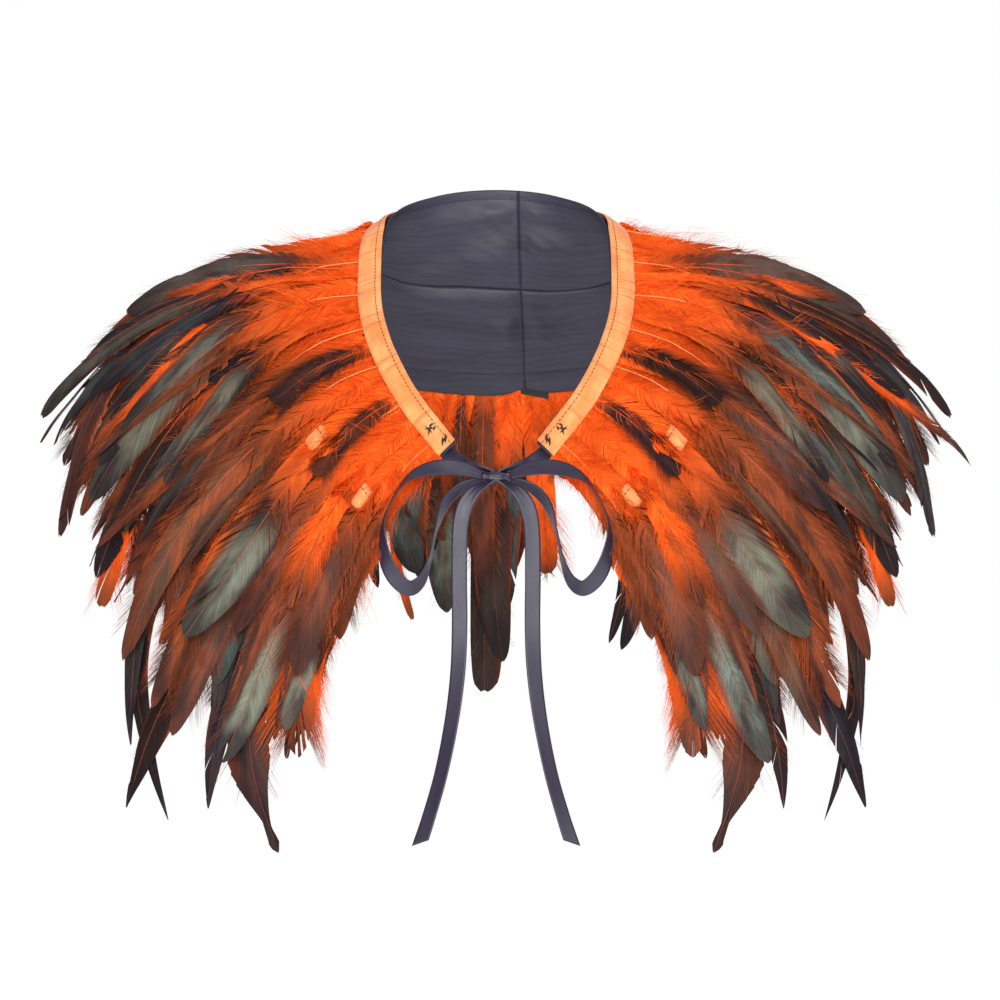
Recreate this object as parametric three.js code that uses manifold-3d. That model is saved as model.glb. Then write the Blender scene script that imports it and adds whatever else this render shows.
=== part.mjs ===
// A feather shawl: a short shoulder cape of lining cloth, open at the front, with three rows of
// long cock feathers sewn round it on tapes and two ribbons that tie in a bow at the throat.
// Millimetres, +Z up. The wearer faces -Y and the origin is on the neck's axis, at shoulder height.
//
// Every piece of the cape is laid out on one draped surface, drape(s, v):
//   s runs along the neck edge, 0 at the right front end, 1 at the back of the neck, 2 at the left end
//   v is the distance down the cape from the neck edge, along the cloth
//   a height above the surface is measured outwards, away from the wearer
import * as THREE from "three";
import { mergeVertices } from "three/addons/utils/BufferGeometryUtils.js";
import Module from "manifold-3d";

// Driving dimensions
const LINING_THICKNESS = 1.2;
const SEAM_V = 64; // collar height at the back, where the collar is sewn to the yoke
const HEM_V = 146; // depth of the lined yoke from the neck edge
const SEAM_GAP = 0.3; // between panels that are sewn edge to edge
const BACK_SEAM_S = 0.955; // the back seam sits a little to the right of the middle
const RIGHT_RINGS = 18; // steps along the cape, from the right end to the back seam
const LEFT_RINGS = 20; // and on to the left end
const TAPE_WIDTH = 16;
const TAPE_THICKNESS = 1.0;
const QUILL_BAND_WIDTH = 13; // the stripped quills, lying side by side under the tape
const QUILL_BAND_THICKNESS = 2.0;
const LAY_GAP = 0.3; // between layers that lie on each other
const FEATHER_THICKNESS = 1.4;
const QUILL_WIDTH = 3;
const ROOT_V = QUILL_BAND_WIDTH / 2 - 1.5; // a feather starts inside its quill band, near the edge
const RIBBON_THICKNESS = 1.0;
const KNOT = { length: 19, height: 8.5, depth: 8, x: 0, y: -116, z: -121.5 };
const DEGREE = Math.PI / 180;

// Stations from the front end to the middle of the back. x, y, z is the neck edge, heading the way
// the cape runs out from it (0 is sideways, 90 is backwards) and slopes how steeply it falls, in
// degrees below level, at each distance of SLOPE_KNOTS down the cape.
const STATIONS = [
  { s: 0.0, x: 26, y: -102, z: -100, heading: -30, slopes: [40, 54, 66, 75, 81] },
  { s: 0.2, x: 53, y: -84, z: -64, heading: -24, slopes: [34, 45, 58, 71, 83] },
  { s: 0.4, x: 71, y: -55, z: -25, heading: -15, slopes: [24, 34, 48, 68, 85] },
  { s: 0.58, x: 75.5, y: -18, z: 10, heading: -4, slopes: [17, 26, 39, 62, 87] },
  { s: 0.74, x: 70, y: 22, z: 53, heading: 13, slopes: [32, 21, 26, 48, 84] },
  { s: 0.87, x: 41, y: 53, z: 69, heading: 50, slopes: [70, 54, 55, 68, 84] },
  { s: 1.0, x: 0, y: 62, z: 74, heading: 90, slopes: [82, 70, 66, 77, 86] },
];
const SLOPE_KNOTS = [0, 70, 140, 230, 350];

// Feather rows. root is the distance of the quills from the neck edge, spacing the pitch of the
// feathers along the row, length and width their usual size, kick how far their tips stand off, and
// rises the height of the lower layer of feathers above the cape at each distance of RISE_KNOTS past
// the root, so that each row clears the next.
const ROWS = [
  { name: "neck", root: 8, spacing: 16.5, length: 200, width: 28, kick: 6, rises: [0.95, 7.2, 16.5] },
  { name: "middle", root: 76, spacing: 18, length: 192, width: 29, kick: 3.5, rises: [0.95, 9.2, 9.6] },
  { name: "hem", root: 136, spacing: 20, length: 178, width: 30, kick: 0.8, rises: [0.95, 2.4, 2.4] },
];
const RISE_KNOTS = [0, 40, 90];

// The share of its row's usual length that a feather has, by place along the neck edge.
const REACH = [
  { s: 0.0, neck: 0.94, middle: 0.88, hem: 0.8 },
  { s: 0.1, neck: 1.0, middle: 0.92, hem: 0.92 },
  { s: 0.25, neck: 1.0, middle: 0.95, hem: 0.98 },
  { s: 0.4, neck: 1.0, middle: 0.95, hem: 0.84 },
  { s: 0.58, neck: 1.0, middle: 0.94, hem: 0.76 },
  { s: 0.72, neck: 1.02, middle: 1.02, hem: 0.78 },
  { s: 0.84, neck: 1.0, middle: 1.0, hem: 0.95 },
  { s: 0.93, neck: 1.0, middle: 0.95, hem: 0.9 },
  { s: 1.0, neck: 1.0, middle: 1.05, hem: 1.22 },
];
const LENGTH_SPREAD = 0.09; // how much feathers differ from the usual, as shares of it
const WIDTH_SPREAD = 0.16;
const SWEEP_SPREAD = 0.022; // how far tips turn aside, as a share of the way round
const BAND_END_S = 0.004; // the quill band stops this share of the way round from the front end
const FIRST_QUILL_S = 0.012; // and the first feather stands this far from it
const LAYER_STEP = 3.4; // every second feather lies this much higher than its neighbours
const LAYER_RUN = 45; // and takes this distance from the root to get there
const KICK_FROM = 0.6; // the share of a feather's length where its tip starts to stand off
const FACET_RUN = 20; // over this distance a feather leaves its band's facets for the smooth drape

// A feather's outline: the share of its full width and thickness at each share of its length, up to
// the tip.
const OUTLINE = [
  { along: 0.0, width: 0.1, thickness: 0.8 },
  { along: 0.13, width: 0.42, thickness: 1 },
  { along: 0.34, width: 0.9, thickness: 1 },
  { along: 0.6, width: 1.0, thickness: 1 },
  { along: 0.84, width: 0.68, thickness: 0.9 },
];

// The left ribbon's centre line from the middle of the knot: across, up and forward, its width there,
// which is gathered near the knot, and roll, the turn of its face away from the viewer in degrees.
// The right ribbon mirrors it.
const TIE = [
  { across: -37.1, up: 22.4, forward: -17.2, width: 10, roll: -19 },
  { across: -31.3, up: 15.1, forward: -13.7, width: 10, roll: -19 },
  { across: -22, up: 9.2, forward: -7.5, width: 8.5, roll: 0 },
  { across: -13, up: 6.2, forward: -1.5, width: 6, roll: 40 },
  { across: -6.5, up: 4.8, forward: 0, width: 5, roll: 68 },
];
const LOOP = [
  { across: -9.35, up: 0.8, forward: 2.2, width: 5, roll: 36 },
  { across: -18, up: 4.2, forward: 7, width: 8.5, roll: 22 },
  { across: -31, up: 8, forward: 14, width: 10, roll: 14 },
  { across: -45, up: 7, forward: 21, width: 10, roll: 18 },
  { across: -57, up: 0, forward: 27, width: 10, roll: 40 },
  { across: -66, up: -14, forward: 32, width: 10, roll: 62 },
  { across: -71, up: -32, forward: 36, width: 10, roll: 62 },
  { across: -70, up: -49, forward: 38.5, width: 10, roll: 44 },
  { across: -64, up: -63, forward: 38, width: 10, roll: 24 },
  { across: -55, up: -70.5, forward: 34.5, width: 10, roll: 18 },
  { across: -47, up: -66, forward: 28, width: 10, roll: 40 },
  { across: -41.5, up: -52, forward: 19, width: 10, roll: 60 },
  { across: -38, up: -34, forward: 11, width: 10, roll: 60 },
  { across: -32, up: -17, forward: 3.5, width: 9, roll: 46 },
  { across: -22, up: -7, forward: -1, width: 7, roll: 40 },
  { across: -9.6, up: -1.6, forward: -2.6, width: 5, roll: 44 },
];
const TAIL = [
  { across: -6.2, up: -4.8, forward: 1.4, width: 5, roll: 55 },
  { across: -13, up: -8.6, forward: 4, width: 8, roll: 26 },
  { across: -19.5, up: -18, forward: 5, width: 10, roll: 10 },
  { across: -22.8, up: -33, forward: 5, width: 10, roll: 4 },
  { across: -23.4, up: -62, forward: 4, width: 10, roll: 0 },
  { across: -23.2, up: -95, forward: 3, width: 10, roll: 0 },
  { across: -24.4, up: -125, forward: 2.5, width: 10, roll: 4 },
  { across: -28.4, up: -157, forward: 3, width: 10, roll: 8 },
  { across: -35, up: -190, forward: 4, width: 10, roll: 10 },
  { across: -43, up: -218, forward: 5, width: 10, roll: 12 },
  { across: -48, up: -233, forward: 6, width: 10, roll: 14 },
];

const wasm = await Module();
wasm.setup();

const material = (color, roughness) =>
  new THREE.MeshStandardMaterial({ color, roughness, metalness: 0 });
const SATIN = material(0x43434f, 0.42);
const TAPE = material(0xf2a45c, 0.85);
const FEATHER = material(0x8a4a22, 0.6);
const RIBBON = material(0x3d3d4b, 0.45);

// Curves through the tables

// The whole way round: the right half's stations, then the left half's as their mirror images.
const ALL_STATIONS = [
  ...STATIONS,
  ...STATIONS.slice(0, -1)
    .reverse()
    .map((row) => ({ ...row, s: 2 - row.s, x: -row.x, heading: 180 - row.heading })),
];

// A smooth curve through one value of a table's rows, read where the rows' s has the value given.
function smoothAt(table, s, read) {
  const last = table.length - 1;
  const clamped = THREE.MathUtils.clamp(s, table[0].s, table[last].s);
  let i = 0;
  while (i < last - 1 && clamped > table[i + 1].s) i++;
  const slopeBetween = (a, b) => (read(table[b]) - read(table[a])) / (table[b].s - table[a].s);
  const tangent = (k) => slopeBetween(Math.max(k - 1, 0), Math.min(k + 1, last));
  const span = table[i + 1].s - table[i].s;
  const t = (clamped - table[i].s) / span;
  const [t2, t3] = [t * t, t * t * t];
  return (
    (2 * t3 - 3 * t2 + 1) * read(table[i]) +
    (t3 - 2 * t2 + t) * span * tangent(i) +
    (3 * t2 - 2 * t3) * read(table[i + 1]) +
    (t3 - t2) * span * tangent(i + 1)
  );
}

// A straight-line reading of values given at knots.
function between(knots, values, at) {
  let i = 0;
  while (i < knots.length - 2 && at > knots[i + 1]) i++;
  const t = THREE.MathUtils.clamp((at - knots[i]) / (knots[i + 1] - knots[i]), 0, 1);
  return THREE.MathUtils.lerp(values[i], values[i + 1], t);
}

// A repeatable share from -1 to 1 for feather number index, a different one for each use.
function vary(index, use) {
  const share = index * 0.618034 + use * 0.754878;
  return 2 * (share - Math.floor(share)) - 1;
}

// The draped surface

const V_STEP = 5;
function drapePoint(s, v) {
  const at = (read) => smoothAt(ALL_STATIONS, s, read);
  const slopes = SLOPE_KNOTS.map((_, k) => at((row) => row.slopes[k]));
  const heading = at((row) => row.heading) * DEGREE;
  const steps = Math.max(1, Math.ceil(v / V_STEP));
  const point = new THREE.Vector3(at((row) => row.x), at((row) => row.y), at((row) => row.z));
  for (let i = 0; i < steps; i++) {
    const slope = between(SLOPE_KNOTS, slopes, ((i + 0.5) * v) / steps) * DEGREE;
    const out = (Math.cos(slope) * v) / steps;
    point.x += out * Math.cos(heading);
    point.y += out * Math.sin(heading);
    point.z -= (Math.sin(slope) * v) / steps;
  }
  return point;
}

// The point at a height above the surface, with the surface's outward normal there.
function drape(s, v, height = 0) {
  const [ds, dv] = [0.004, 2];
  const along = drapePoint(Math.min(s + ds, 2), v).sub(drapePoint(Math.max(s - ds, 0), v));
  const down = drapePoint(s, v + dv).sub(drapePoint(s, Math.max(v - dv, 0)));
  const normal = down.cross(along).normalize();
  return { point: drapePoint(s, v).addScaledVector(normal, height), normal };
}

// s values spread evenly, by length, along the line at distance v.
function evenlyAlong(v, from, to, count) {
  const fine = 120;
  const samples = Array.from({ length: fine + 1 }, (_, i) => THREE.MathUtils.lerp(from, to, i / fine));
  const lengths = [0];
  for (let i = 1; i <= fine; i++) {
    const step = drapePoint(samples[i], v).distanceTo(drapePoint(samples[i - 1], v));
    lengths.push(lengths[i - 1] + step);
  }
  const total = lengths[fine];
  const places = Array.from({ length: count }, (_, i) =>
    between(lengths, samples, (total * i) / (count - 1)),
  );
  return { places, total };
}

// Solids

// A closed skin over rings of points, all of one even size. Ring point k faces point n - 1 - k across
// the ring, so the end caps are strips. With a tip, the last ring closes to that point.
function loft(rings, tip = null) {
  const n = rings[0].length;
  const points = rings.flat();
  const faces = [];
  for (let r = 0; r < rings.length - 1; r++) {
    for (let k = 0; k < n; k++) {
      const [a, b] = [r * n + k, r * n + ((k + 1) % n)];
      const straight = points[a].distanceTo(points[b + n]) < points[b].distanceTo(points[a + n]);
      faces.push(...(straight ? [a, b, b + n, a, b + n, a + n] : [a, b, a + n, b, b + n, a + n]));
    }
  }
  const cap = (start, flip) => {
    for (let k = 0; k < n / 2 - 1; k++) {
      const [a, b, c, d] = [start + k, start + k + 1, start + n - 2 - k, start + n - 1 - k];
      faces.push(...(flip ? [a, c, b, a, d, c] : [a, b, c, a, c, d]));
    }
  };
  cap(0, true);
  const lastRing = (rings.length - 1) * n;
  if (tip) {
    points.push(tip);
    for (let k = 0; k < n; k++) faces.push(lastRing + k, lastRing + ((k + 1) % n), points.length - 1);
  } else {
    cap(lastRing, false);
  }
  const geometry = new THREE.BufferGeometry().setFromPoints(points);
  geometry.setIndex(faces);
  return geometry;
}

// The solid of a closed geometry, turned so that its faces point outwards.
function solidOf(geometry) {
  const bare = mergeVertices(geometry, 1e-4);
  const triangles = new Uint32Array(bare.index.array);
  const position = bare.attributes.position.array;
  const make = () =>
    new wasm.Manifold(new wasm.Mesh({ numProp: 3, vertProperties: position, triVerts: triangles }));
  const solid = make();
  if (solid.volume() > 0) return solid;
  for (let i = 0; i < triangles.length; i += 3) {
    [triangles[i + 1], triangles[i + 2]] = [triangles[i + 2], triangles[i + 1]];
  }
  return make();
}

function geometryOf(solid) {
  const mesh = solid.getMesh();
  const geometry = new THREE.BufferGeometry();
  geometry.setAttribute("position", new THREE.BufferAttribute(new Float32Array(mesh.vertProperties), 3));
  geometry.setIndex(new THREE.BufferAttribute(new Uint32Array(mesh.triVerts), 1));
  geometry.computeVertexNormals();
  return geometry;
}

function named(name, solid, look) {
  const mesh = new THREE.Mesh(geometryOf(solid), look);
  mesh.name = name;
  return mesh;
}

// The places along the neck edge where every strip of the cape has a ring of points, so that strips
// which lie on each other bend at the same lines.
const RINGS_S = [
  ...evenlyAlong(SEAM_V, 0, BACK_SEAM_S, RIGHT_RINGS + 1).places,
  ...evenlyAlong(SEAM_V, BACK_SEAM_S, 2, LEFT_RINGS + 1).places.slice(1),
];
const RING_CLEARANCE = 0.004; // the least way round between a strip's end and its next ring

// The same point as drape gives, on the flat facets that strips make between their rings.
function facet(s, v, height) {
  let i = 0;
  while (i < RINGS_S.length - 2 && s > RINGS_S[i + 1]) i++;
  const t = (s - RINGS_S[i]) / (RINGS_S[i + 1] - RINGS_S[i]);
  return drape(RINGS_S[i], v, height).point.lerp(drape(RINGS_S[i + 1], v, height).point, t);
}

// A strip of the cape between two heights, from distance v0 to v1 and from s0 to s1.
function capeStrip({ s0, s1, v0, v1, low, high, across }) {
  const inside = RINGS_S.filter((s) => s > s0 + RING_CLEARANCE && s < s1 - RING_CLEARANCE);
  const rings = [s0, ...inside, s1].map((s) => {
    const side = (height) =>
      Array.from({ length: across + 1 }, (_, k) =>
        drape(s, THREE.MathUtils.lerp(v0, v1, k / across), height).point,
      );
    return [...side(high), ...side(low).reverse()];
  });
  return solidOf(loft(rings));
}

// Lining: the collar and the yoke below it, each in two panels that meet at the back seam.
function liningPanels() {
  const backGap = 0.0005; // half the back seam's gap, as a share of the way round
  const sides = [
    { side: "right", s0: 0, s1: BACK_SEAM_S - backGap },
    { side: "left", s0: BACK_SEAM_S + backGap, s1: 2 },
  ];
  const levels = [
    { level: "collar", v0: 0, v1: SEAM_V - SEAM_GAP / 2 },
    { level: "yoke", v0: SEAM_V + SEAM_GAP / 2, v1: HEM_V },
  ];
  return levels.flatMap(({ level, v0, v1 }) =>
    sides.map(({ side, s0, s1 }) =>
      named(
        `lining_${level}_${side}`,
        capeStrip({ s0, s1, v0, v1, low: -LINING_THICKNESS, high: 0, across: 3 }),
        SATIN,
      ),
    ),
  );
}

// Tapes: one over the quills of each row. The neck tape's edge is the neck edge of the cape.
const BAND_TOP = LAY_GAP + QUILL_BAND_THICKNESS;
function rowTape({ name, root }) {
  const strip = capeStrip({
    s0: 0,
    s1: 2,
    v0: root - TAPE_WIDTH / 2,
    v1: root + TAPE_WIDTH / 2,
    low: BAND_TOP + LAY_GAP,
    high: BAND_TOP + LAY_GAP + TAPE_THICKNESS,
    across: 1,
  });
  return named(`${name}_tape`, strip, TAPE);
}

// One feather of a row: a flat blade that leaves the quill band, rises over the row below and
// follows the drape to its tip.
function feather(row, s, index) {
  const upper = index % 2;
  const reach = smoothAt(REACH, Math.min(s, 2 - s), (place) => place[row.name]);
  const length = row.length * reach * (1 + LENGTH_SPREAD * vary(index, 1));
  const width = row.width * (1 + WIDTH_SPREAD * vary(index, 2));
  const sweep = SWEEP_SPREAD * vary(index, 3);
  const kick = row.kick * (1 + vary(index, 4));
  const spine = (t) => {
    const far = length * t;
    const lift = between(RISE_KNOTS, row.rises, far) + upper * LAYER_STEP * Math.min(1, far / LAYER_RUN);
    const standOff = kick * Math.max(0, (t - KICK_FROM) / (1 - KICK_FROM)) ** 2;
    const turned = THREE.MathUtils.clamp(s + sweep * t * t, 0, 2);
    const place = [turned, row.root + ROOT_V + far, lift + standOff];
    const { point, normal } = drape(...place);
    return { point: facet(...place).lerp(point, Math.min(1, far / FACET_RUN)), normal };
  };
  const rings = OUTLINE.map(({ along, width: share, thickness }) => {
    const { point, normal } = spine(along);
    const forward = spine(along + 0.02).point.sub(point).normalize();
    const side = forward.clone().cross(normal).normalize();
    const half = Math.max(QUILL_WIDTH, share * width) / 2;
    const up = (k) => point.clone().addScaledVector(normal, (k * thickness * FEATHER_THICKNESS) / 2);
    return [
      point.clone().addScaledVector(side, -half),
      up(1),
      point.clone().addScaledVector(side, half),
      up(-1),
    ];
  });
  return solidOf(loft(rings, spine(1).point));
}

// A row of feathers fused to the band of their quills.
function featherRow(row) {
  const { total } = evenlyAlong(row.root, 0, 2, 2);
  const count = Math.round(total / row.spacing) + 1;
  const { places } = evenlyAlong(row.root, FIRST_QUILL_S, 2 - FIRST_QUILL_S, count);
  const band = capeStrip({
    s0: BAND_END_S,
    s1: 2 - BAND_END_S,
    v0: row.root - QUILL_BAND_WIDTH / 2,
    v1: row.root + QUILL_BAND_WIDTH / 2,
    low: LAY_GAP,
    high: BAND_TOP,
    across: 1,
  });
  const blades = places.map((s, index) => feather(row, s, index));
  return named(`feathers_${row.name}`, wasm.Manifold.union([band, ...blades]), FEATHER);
}

// A flat ribbon along a hand-set route, one ring of four corners at each step of a smooth curve.
function ribbon(name, route, mirror, steps) {
  const points = route.map(({ across, up, forward }) =>
    new THREE.Vector3(KNOT.x + mirror * across, KNOT.y - forward, KNOT.z + up),
  );
  const curve = new THREE.CatmullRomCurve3(points, false, "centripetal");
  const viewer = new THREE.Vector3(0, -1, 0);
  const rings = Array.from({ length: steps + 1 }, (_, i) => {
    const t = i / steps;
    const forward = curve.getTangent(t);
    const knots = route.map((_, k) => k / (route.length - 1));
    const read = (column) => between(knots, route.map((row) => row[column]), t);
    const roll = read("roll") * DEGREE * mirror;
    const half = read("width") / 2;
    const flat = viewer.clone().cross(forward).normalize();
    const face = forward.clone().cross(flat).normalize();
    const side = flat.clone().multiplyScalar(Math.cos(roll)).addScaledVector(face, Math.sin(roll));
    const thick = forward.clone().cross(side).normalize().multiplyScalar(RIBBON_THICKNESS / 2);
    const middle = curve.getPoint(t);
    const corner = (a, b) =>
      middle.clone().addScaledVector(side, a * half).addScaledVector(thick, b);
    return [corner(-1, 1), corner(1, 1), corner(1, -1), corner(-1, -1)];
  });
  return named(name, solidOf(loft(rings)), RIBBON);
}

// The knot of the bow: a small pillow of wrapped ribbon.
function knot() {
  const geometry = new THREE.SphereGeometry(0.5, 14, 10);
  geometry.deleteAttribute("normal");
  geometry.deleteAttribute("uv");
  geometry.rotateZ(Math.PI / 2);
  geometry.scale(KNOT.length, KNOT.depth, KNOT.height);
  geometry.translate(KNOT.x, KNOT.y, KNOT.z);
  return named("ribbon_knot", solidOf(geometry), RIBBON);
}

function bow() {
  const sides = [
    { side: "left", mirror: 1 },
    { side: "right", mirror: -1 },
  ];
  const ribbons = sides.flatMap(({ side, mirror }) => [
    ribbon(`ribbon_tie_${side}`, TIE, mirror, 6),
    ribbon(`ribbon_loop_${side}`, LOOP, mirror, 30),
    ribbon(`ribbon_tail_${side}`, TAIL, mirror, 20),
  ]);
  return [knot(), ...ribbons];
}

const shawl = new THREE.Group();
shawl.name = "feather_shawl";
shawl.add(...liningPanels());
shawl.add(...ROWS.map(rowTape));
shawl.add(...ROWS.map(featherRow));
shawl.add(...bow());

export default shawl;
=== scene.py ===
# %% [markdown]
# # A feather shawl
# The shawl is a short shoulder cape: a satin lining cut like a yoke, three rows of dyed cock feathers
# sewn on under cotton tapes, and a ribbon bow at the throat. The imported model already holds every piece
# at its real size, so this lesson only dresses it: each plain solid is replaced by a piece that is made
# the way the real one is, in the same place and in the same frame.
# %% Load the frame
import math

import bpy
import numpy as np
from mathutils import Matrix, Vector, noise


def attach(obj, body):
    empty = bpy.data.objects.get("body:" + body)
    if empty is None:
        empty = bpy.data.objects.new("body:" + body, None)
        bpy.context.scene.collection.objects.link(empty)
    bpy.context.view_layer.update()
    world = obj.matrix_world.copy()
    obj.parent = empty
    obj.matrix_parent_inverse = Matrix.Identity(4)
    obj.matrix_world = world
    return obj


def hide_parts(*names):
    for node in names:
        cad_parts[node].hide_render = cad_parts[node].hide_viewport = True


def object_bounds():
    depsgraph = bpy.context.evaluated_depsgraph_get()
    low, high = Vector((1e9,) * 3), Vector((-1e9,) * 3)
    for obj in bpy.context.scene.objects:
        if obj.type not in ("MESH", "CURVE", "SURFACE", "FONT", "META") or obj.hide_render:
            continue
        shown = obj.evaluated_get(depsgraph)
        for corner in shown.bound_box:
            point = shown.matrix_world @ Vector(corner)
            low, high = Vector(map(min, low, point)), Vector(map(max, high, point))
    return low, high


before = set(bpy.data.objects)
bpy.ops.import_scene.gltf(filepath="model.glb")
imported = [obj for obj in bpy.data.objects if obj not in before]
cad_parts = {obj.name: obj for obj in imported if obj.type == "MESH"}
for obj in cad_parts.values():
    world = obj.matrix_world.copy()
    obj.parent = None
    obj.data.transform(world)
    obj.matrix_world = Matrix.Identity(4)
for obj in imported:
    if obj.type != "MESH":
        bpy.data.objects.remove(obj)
CAD_LOW, CAD_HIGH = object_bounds()
MM = 0.001
print("nodes to dress:", len(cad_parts), "in a box of", [round(x, 3) for x in CAD_HIGH - CAD_LOW])

# %% [markdown]
# ## The camera
# The picture was taken straight on with a long lens, from a little below the shoulders. One pixel is
# 0.65 mm at the throat. A long lens far away keeps the near and far feathers at almost one scale, so the
# camera is set from that scale and its distance, and nothing is guessed by eye.
# %% Place the camera
PICTURE_SIDE = 1000
MM_PER_PIXEL = 0.65
SCALE_PLANE_Y = -60 * MM
CAMERA_PLACE = Vector((2.5 * MM, -2.8, -136.5 * MM))
SENSOR = 36.0

view_depth = SCALE_PLANE_Y - CAMERA_PLACE.y
FOCAL_PIXELS = view_depth / (MM_PER_PIXEL * MM)
camera_data = bpy.data.cameras.new("studio_camera")
camera_data.sensor_width = SENSOR
camera_data.lens = SENSOR * FOCAL_PIXELS / PICTURE_SIDE
camera = bpy.data.objects.new("studio_camera", camera_data)
camera.location = CAMERA_PLACE
camera.rotation_euler = (math.radians(90), 0, 0)
bpy.context.scene.collection.objects.link(camera)
bpy.context.scene.camera = camera


def to_picture(points):
    """Where points of the frame fall in the picture, in pixels."""
    away = points - np.array(CAMERA_PLACE)
    across = PICTURE_SIDE / 2 + FOCAL_PIXELS * away[..., 0] / away[..., 1]
    down = PICTURE_SIDE / 2 - FOCAL_PIXELS * away[..., 2] / away[..., 1]
    return np.stack([across, down], axis=-1)


print("lens", round(camera_data.lens, 1), "mm at", round(view_depth, 2), "m")

# %% [markdown]
# ## The draped surface
# Everything on the cape is placed by two numbers: s, the way round the neck edge from the right front
# end (0) over the nape (1) to the left front end (2), and v, the distance down from that edge in
# millimetres. A third number is the height above the lining. Left and right are as the picture shows
# them. A cloth simulation over a body would give a drape too, but not the one that the solids have. The
# same short table of stations shapes them, so a piece that is laid with it sits where its solid is.
# %% List the stations of the cape
SLOPE_KNOTS = np.array([0, 70, 140, 230, 350.0])
# columns: s, then x, y, z of the neck edge, the heading outwards, and the slope at each knot
RIGHT_STATIONS = np.array([
    [0.00, 26.0, -102, -100, -30, 40, 54, 66, 75, 81],
    [0.20, 53.0, -84, -64, -24, 34, 45, 58, 71, 83],
    [0.40, 71.0, -55, -25, -15, 24, 34, 48, 68, 85],
    [0.58, 75.5, -18, 10, -4, 17, 26, 39, 62, 87],
    [0.74, 70.0, 22, 53, 13, 32, 21, 26, 48, 84],
    [0.87, 41.0, 53, 69, 50, 70, 54, 55, 68, 84],
    [1.00, 0.0, 62, 74, 90, 82, 70, 66, 77, 86],
])
left_stations = RIGHT_STATIONS[-2::-1].copy()
left_stations[:, 0] = 2 - left_stations[:, 0]
left_stations[:, 1] *= -1
left_stations[:, 4] = 180 - left_stations[:, 4]
STATIONS = np.vstack([RIGHT_STATIONS, left_stations])


def smooth_through(table, at):
    """A smooth curve through a table's rows, read where its first column has the values given."""
    knots = table[:, 0]
    rows = table[:, 1:]
    tangents = np.empty_like(rows)
    tangents[1:-1] = (rows[2:] - rows[:-2]) / (knots[2:] - knots[:-2])[:, None]
    tangents[0] = (rows[1] - rows[0]) / (knots[1] - knots[0])
    tangents[-1] = (rows[-1] - rows[-2]) / (knots[-1] - knots[-2])
    i = np.clip(np.searchsorted(knots, at) - 1, 0, len(knots) - 2)
    span = (knots[i + 1] - knots[i])[:, None]
    t = (at - knots[i])[:, None] / span
    start = (2 * t**3 - 3 * t**2 + 1) * rows[i] + (t**3 - 2 * t**2 + t) * span * tangents[i]
    end = (3 * t**2 - 2 * t**3) * rows[i + 1] + (t**3 - t**2) * span * tangents[i + 1]
    return start + end


def unit(vectors):
    """Vectors scaled to a length of one."""
    return vectors / np.maximum(np.linalg.norm(vectors, axis=-1, keepdims=True), 1e-9)


print("cape drawn through", len(STATIONS), "stations")

# %% Unroll the cape from its stations
S_COUNT = 401
V_STEP = 3.0
CAPE_DEPTH = 403.0
S_LINES = np.linspace(0, 2, S_COUNT)
V_LINES = np.arange(0, CAPE_DEPTH, V_STEP)
station = smooth_through(STATIONS, S_LINES)
v_middles = (V_LINES[1:] + V_LINES[:-1]) / 2
slopes = np.radians([np.interp(v_middles, SLOPE_KNOTS, row) for row in station[:, 4:]])
heading = np.radians(station[:, 3])[:, None]
outward = np.pad(np.cumsum(np.cos(slopes) * V_STEP, axis=1), ((0, 0), (1, 0)))
downward = np.pad(np.cumsum(np.sin(slopes) * V_STEP, axis=1), ((0, 0), (1, 0)))
CAPE = MM * np.stack([
    station[:, 0:1] + outward * np.cos(heading),
    station[:, 1:2] + outward * np.sin(heading),
    station[:, 2:3] - downward,
], axis=-1)
CAPE_NORMAL = unit(np.cross(np.gradient(CAPE, axis=1), np.gradient(CAPE, axis=0)))
print("cape grid of", len(S_LINES), "by", len(V_LINES), "points")

# %% Read places off the cape
HEM_V = 146.0
LAST_CELL = 1.001


def read_grid(grid, s, v):
    """The value of a grid over the cape at s and v, blended between its four nearest corners."""
    a = np.clip(np.asarray(s, float) / (S_LINES[1] - S_LINES[0]), 0, len(S_LINES) - LAST_CELL)
    b = np.clip(np.asarray(v, float) / V_STEP, 0, len(V_LINES) - LAST_CELL)
    i, j = a.astype(int), b.astype(int)
    p, q = (a - i)[..., None], (b - j)[..., None]
    near = grid[i, j] * (1 - q) + grid[i, j + 1] * q
    far = grid[i + 1, j] * (1 - q) + grid[i + 1, j + 1] * q
    return near * (1 - p) + far * p


def on_cape(s, v, height):
    """The point at s, at v millimetres down and height millimetres above the lining, in metres."""
    normal = unit(read_grid(CAPE_NORMAL, s, v))
    return read_grid(CAPE, s, v) + normal * (np.asarray(height, float) * MM)[..., None]


def way_round(v):
    """The length in metres from s = 0 to each of S_LINES, along the line at v."""
    line = read_grid(CAPE, S_LINES, np.full(len(S_LINES), v))
    steps = np.linalg.norm(np.diff(line, axis=0), axis=1)
    return np.concatenate([[0], np.cumsum(steps)])


print("neck edge", round(way_round(0)[-1], 3), "m, lining hem", round(way_round(HEM_V)[-1], 3), "m")

# %% [markdown]
# ## Mesh and shader helpers
# A mesh is only three arrays: corner points, faces that name them, and values that ride on the points.
# Filling those arrays at once is much quicker than adding faces one by one, which matters when there
# are hundreds of feathers. The shader helper does the same for node trees: one call makes a node, sets
# its options and joins its inputs.
# %% Write helpers for meshes
ON_POINTS = {"FLOAT": "value", "FLOAT_VECTOR": "vector"}
BAKE_SPAN = [0.98, 0.47]
UPPER_CORNER = [0.01, 0.01]
LOWER_CORNER = [0.01, 0.52]


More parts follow.
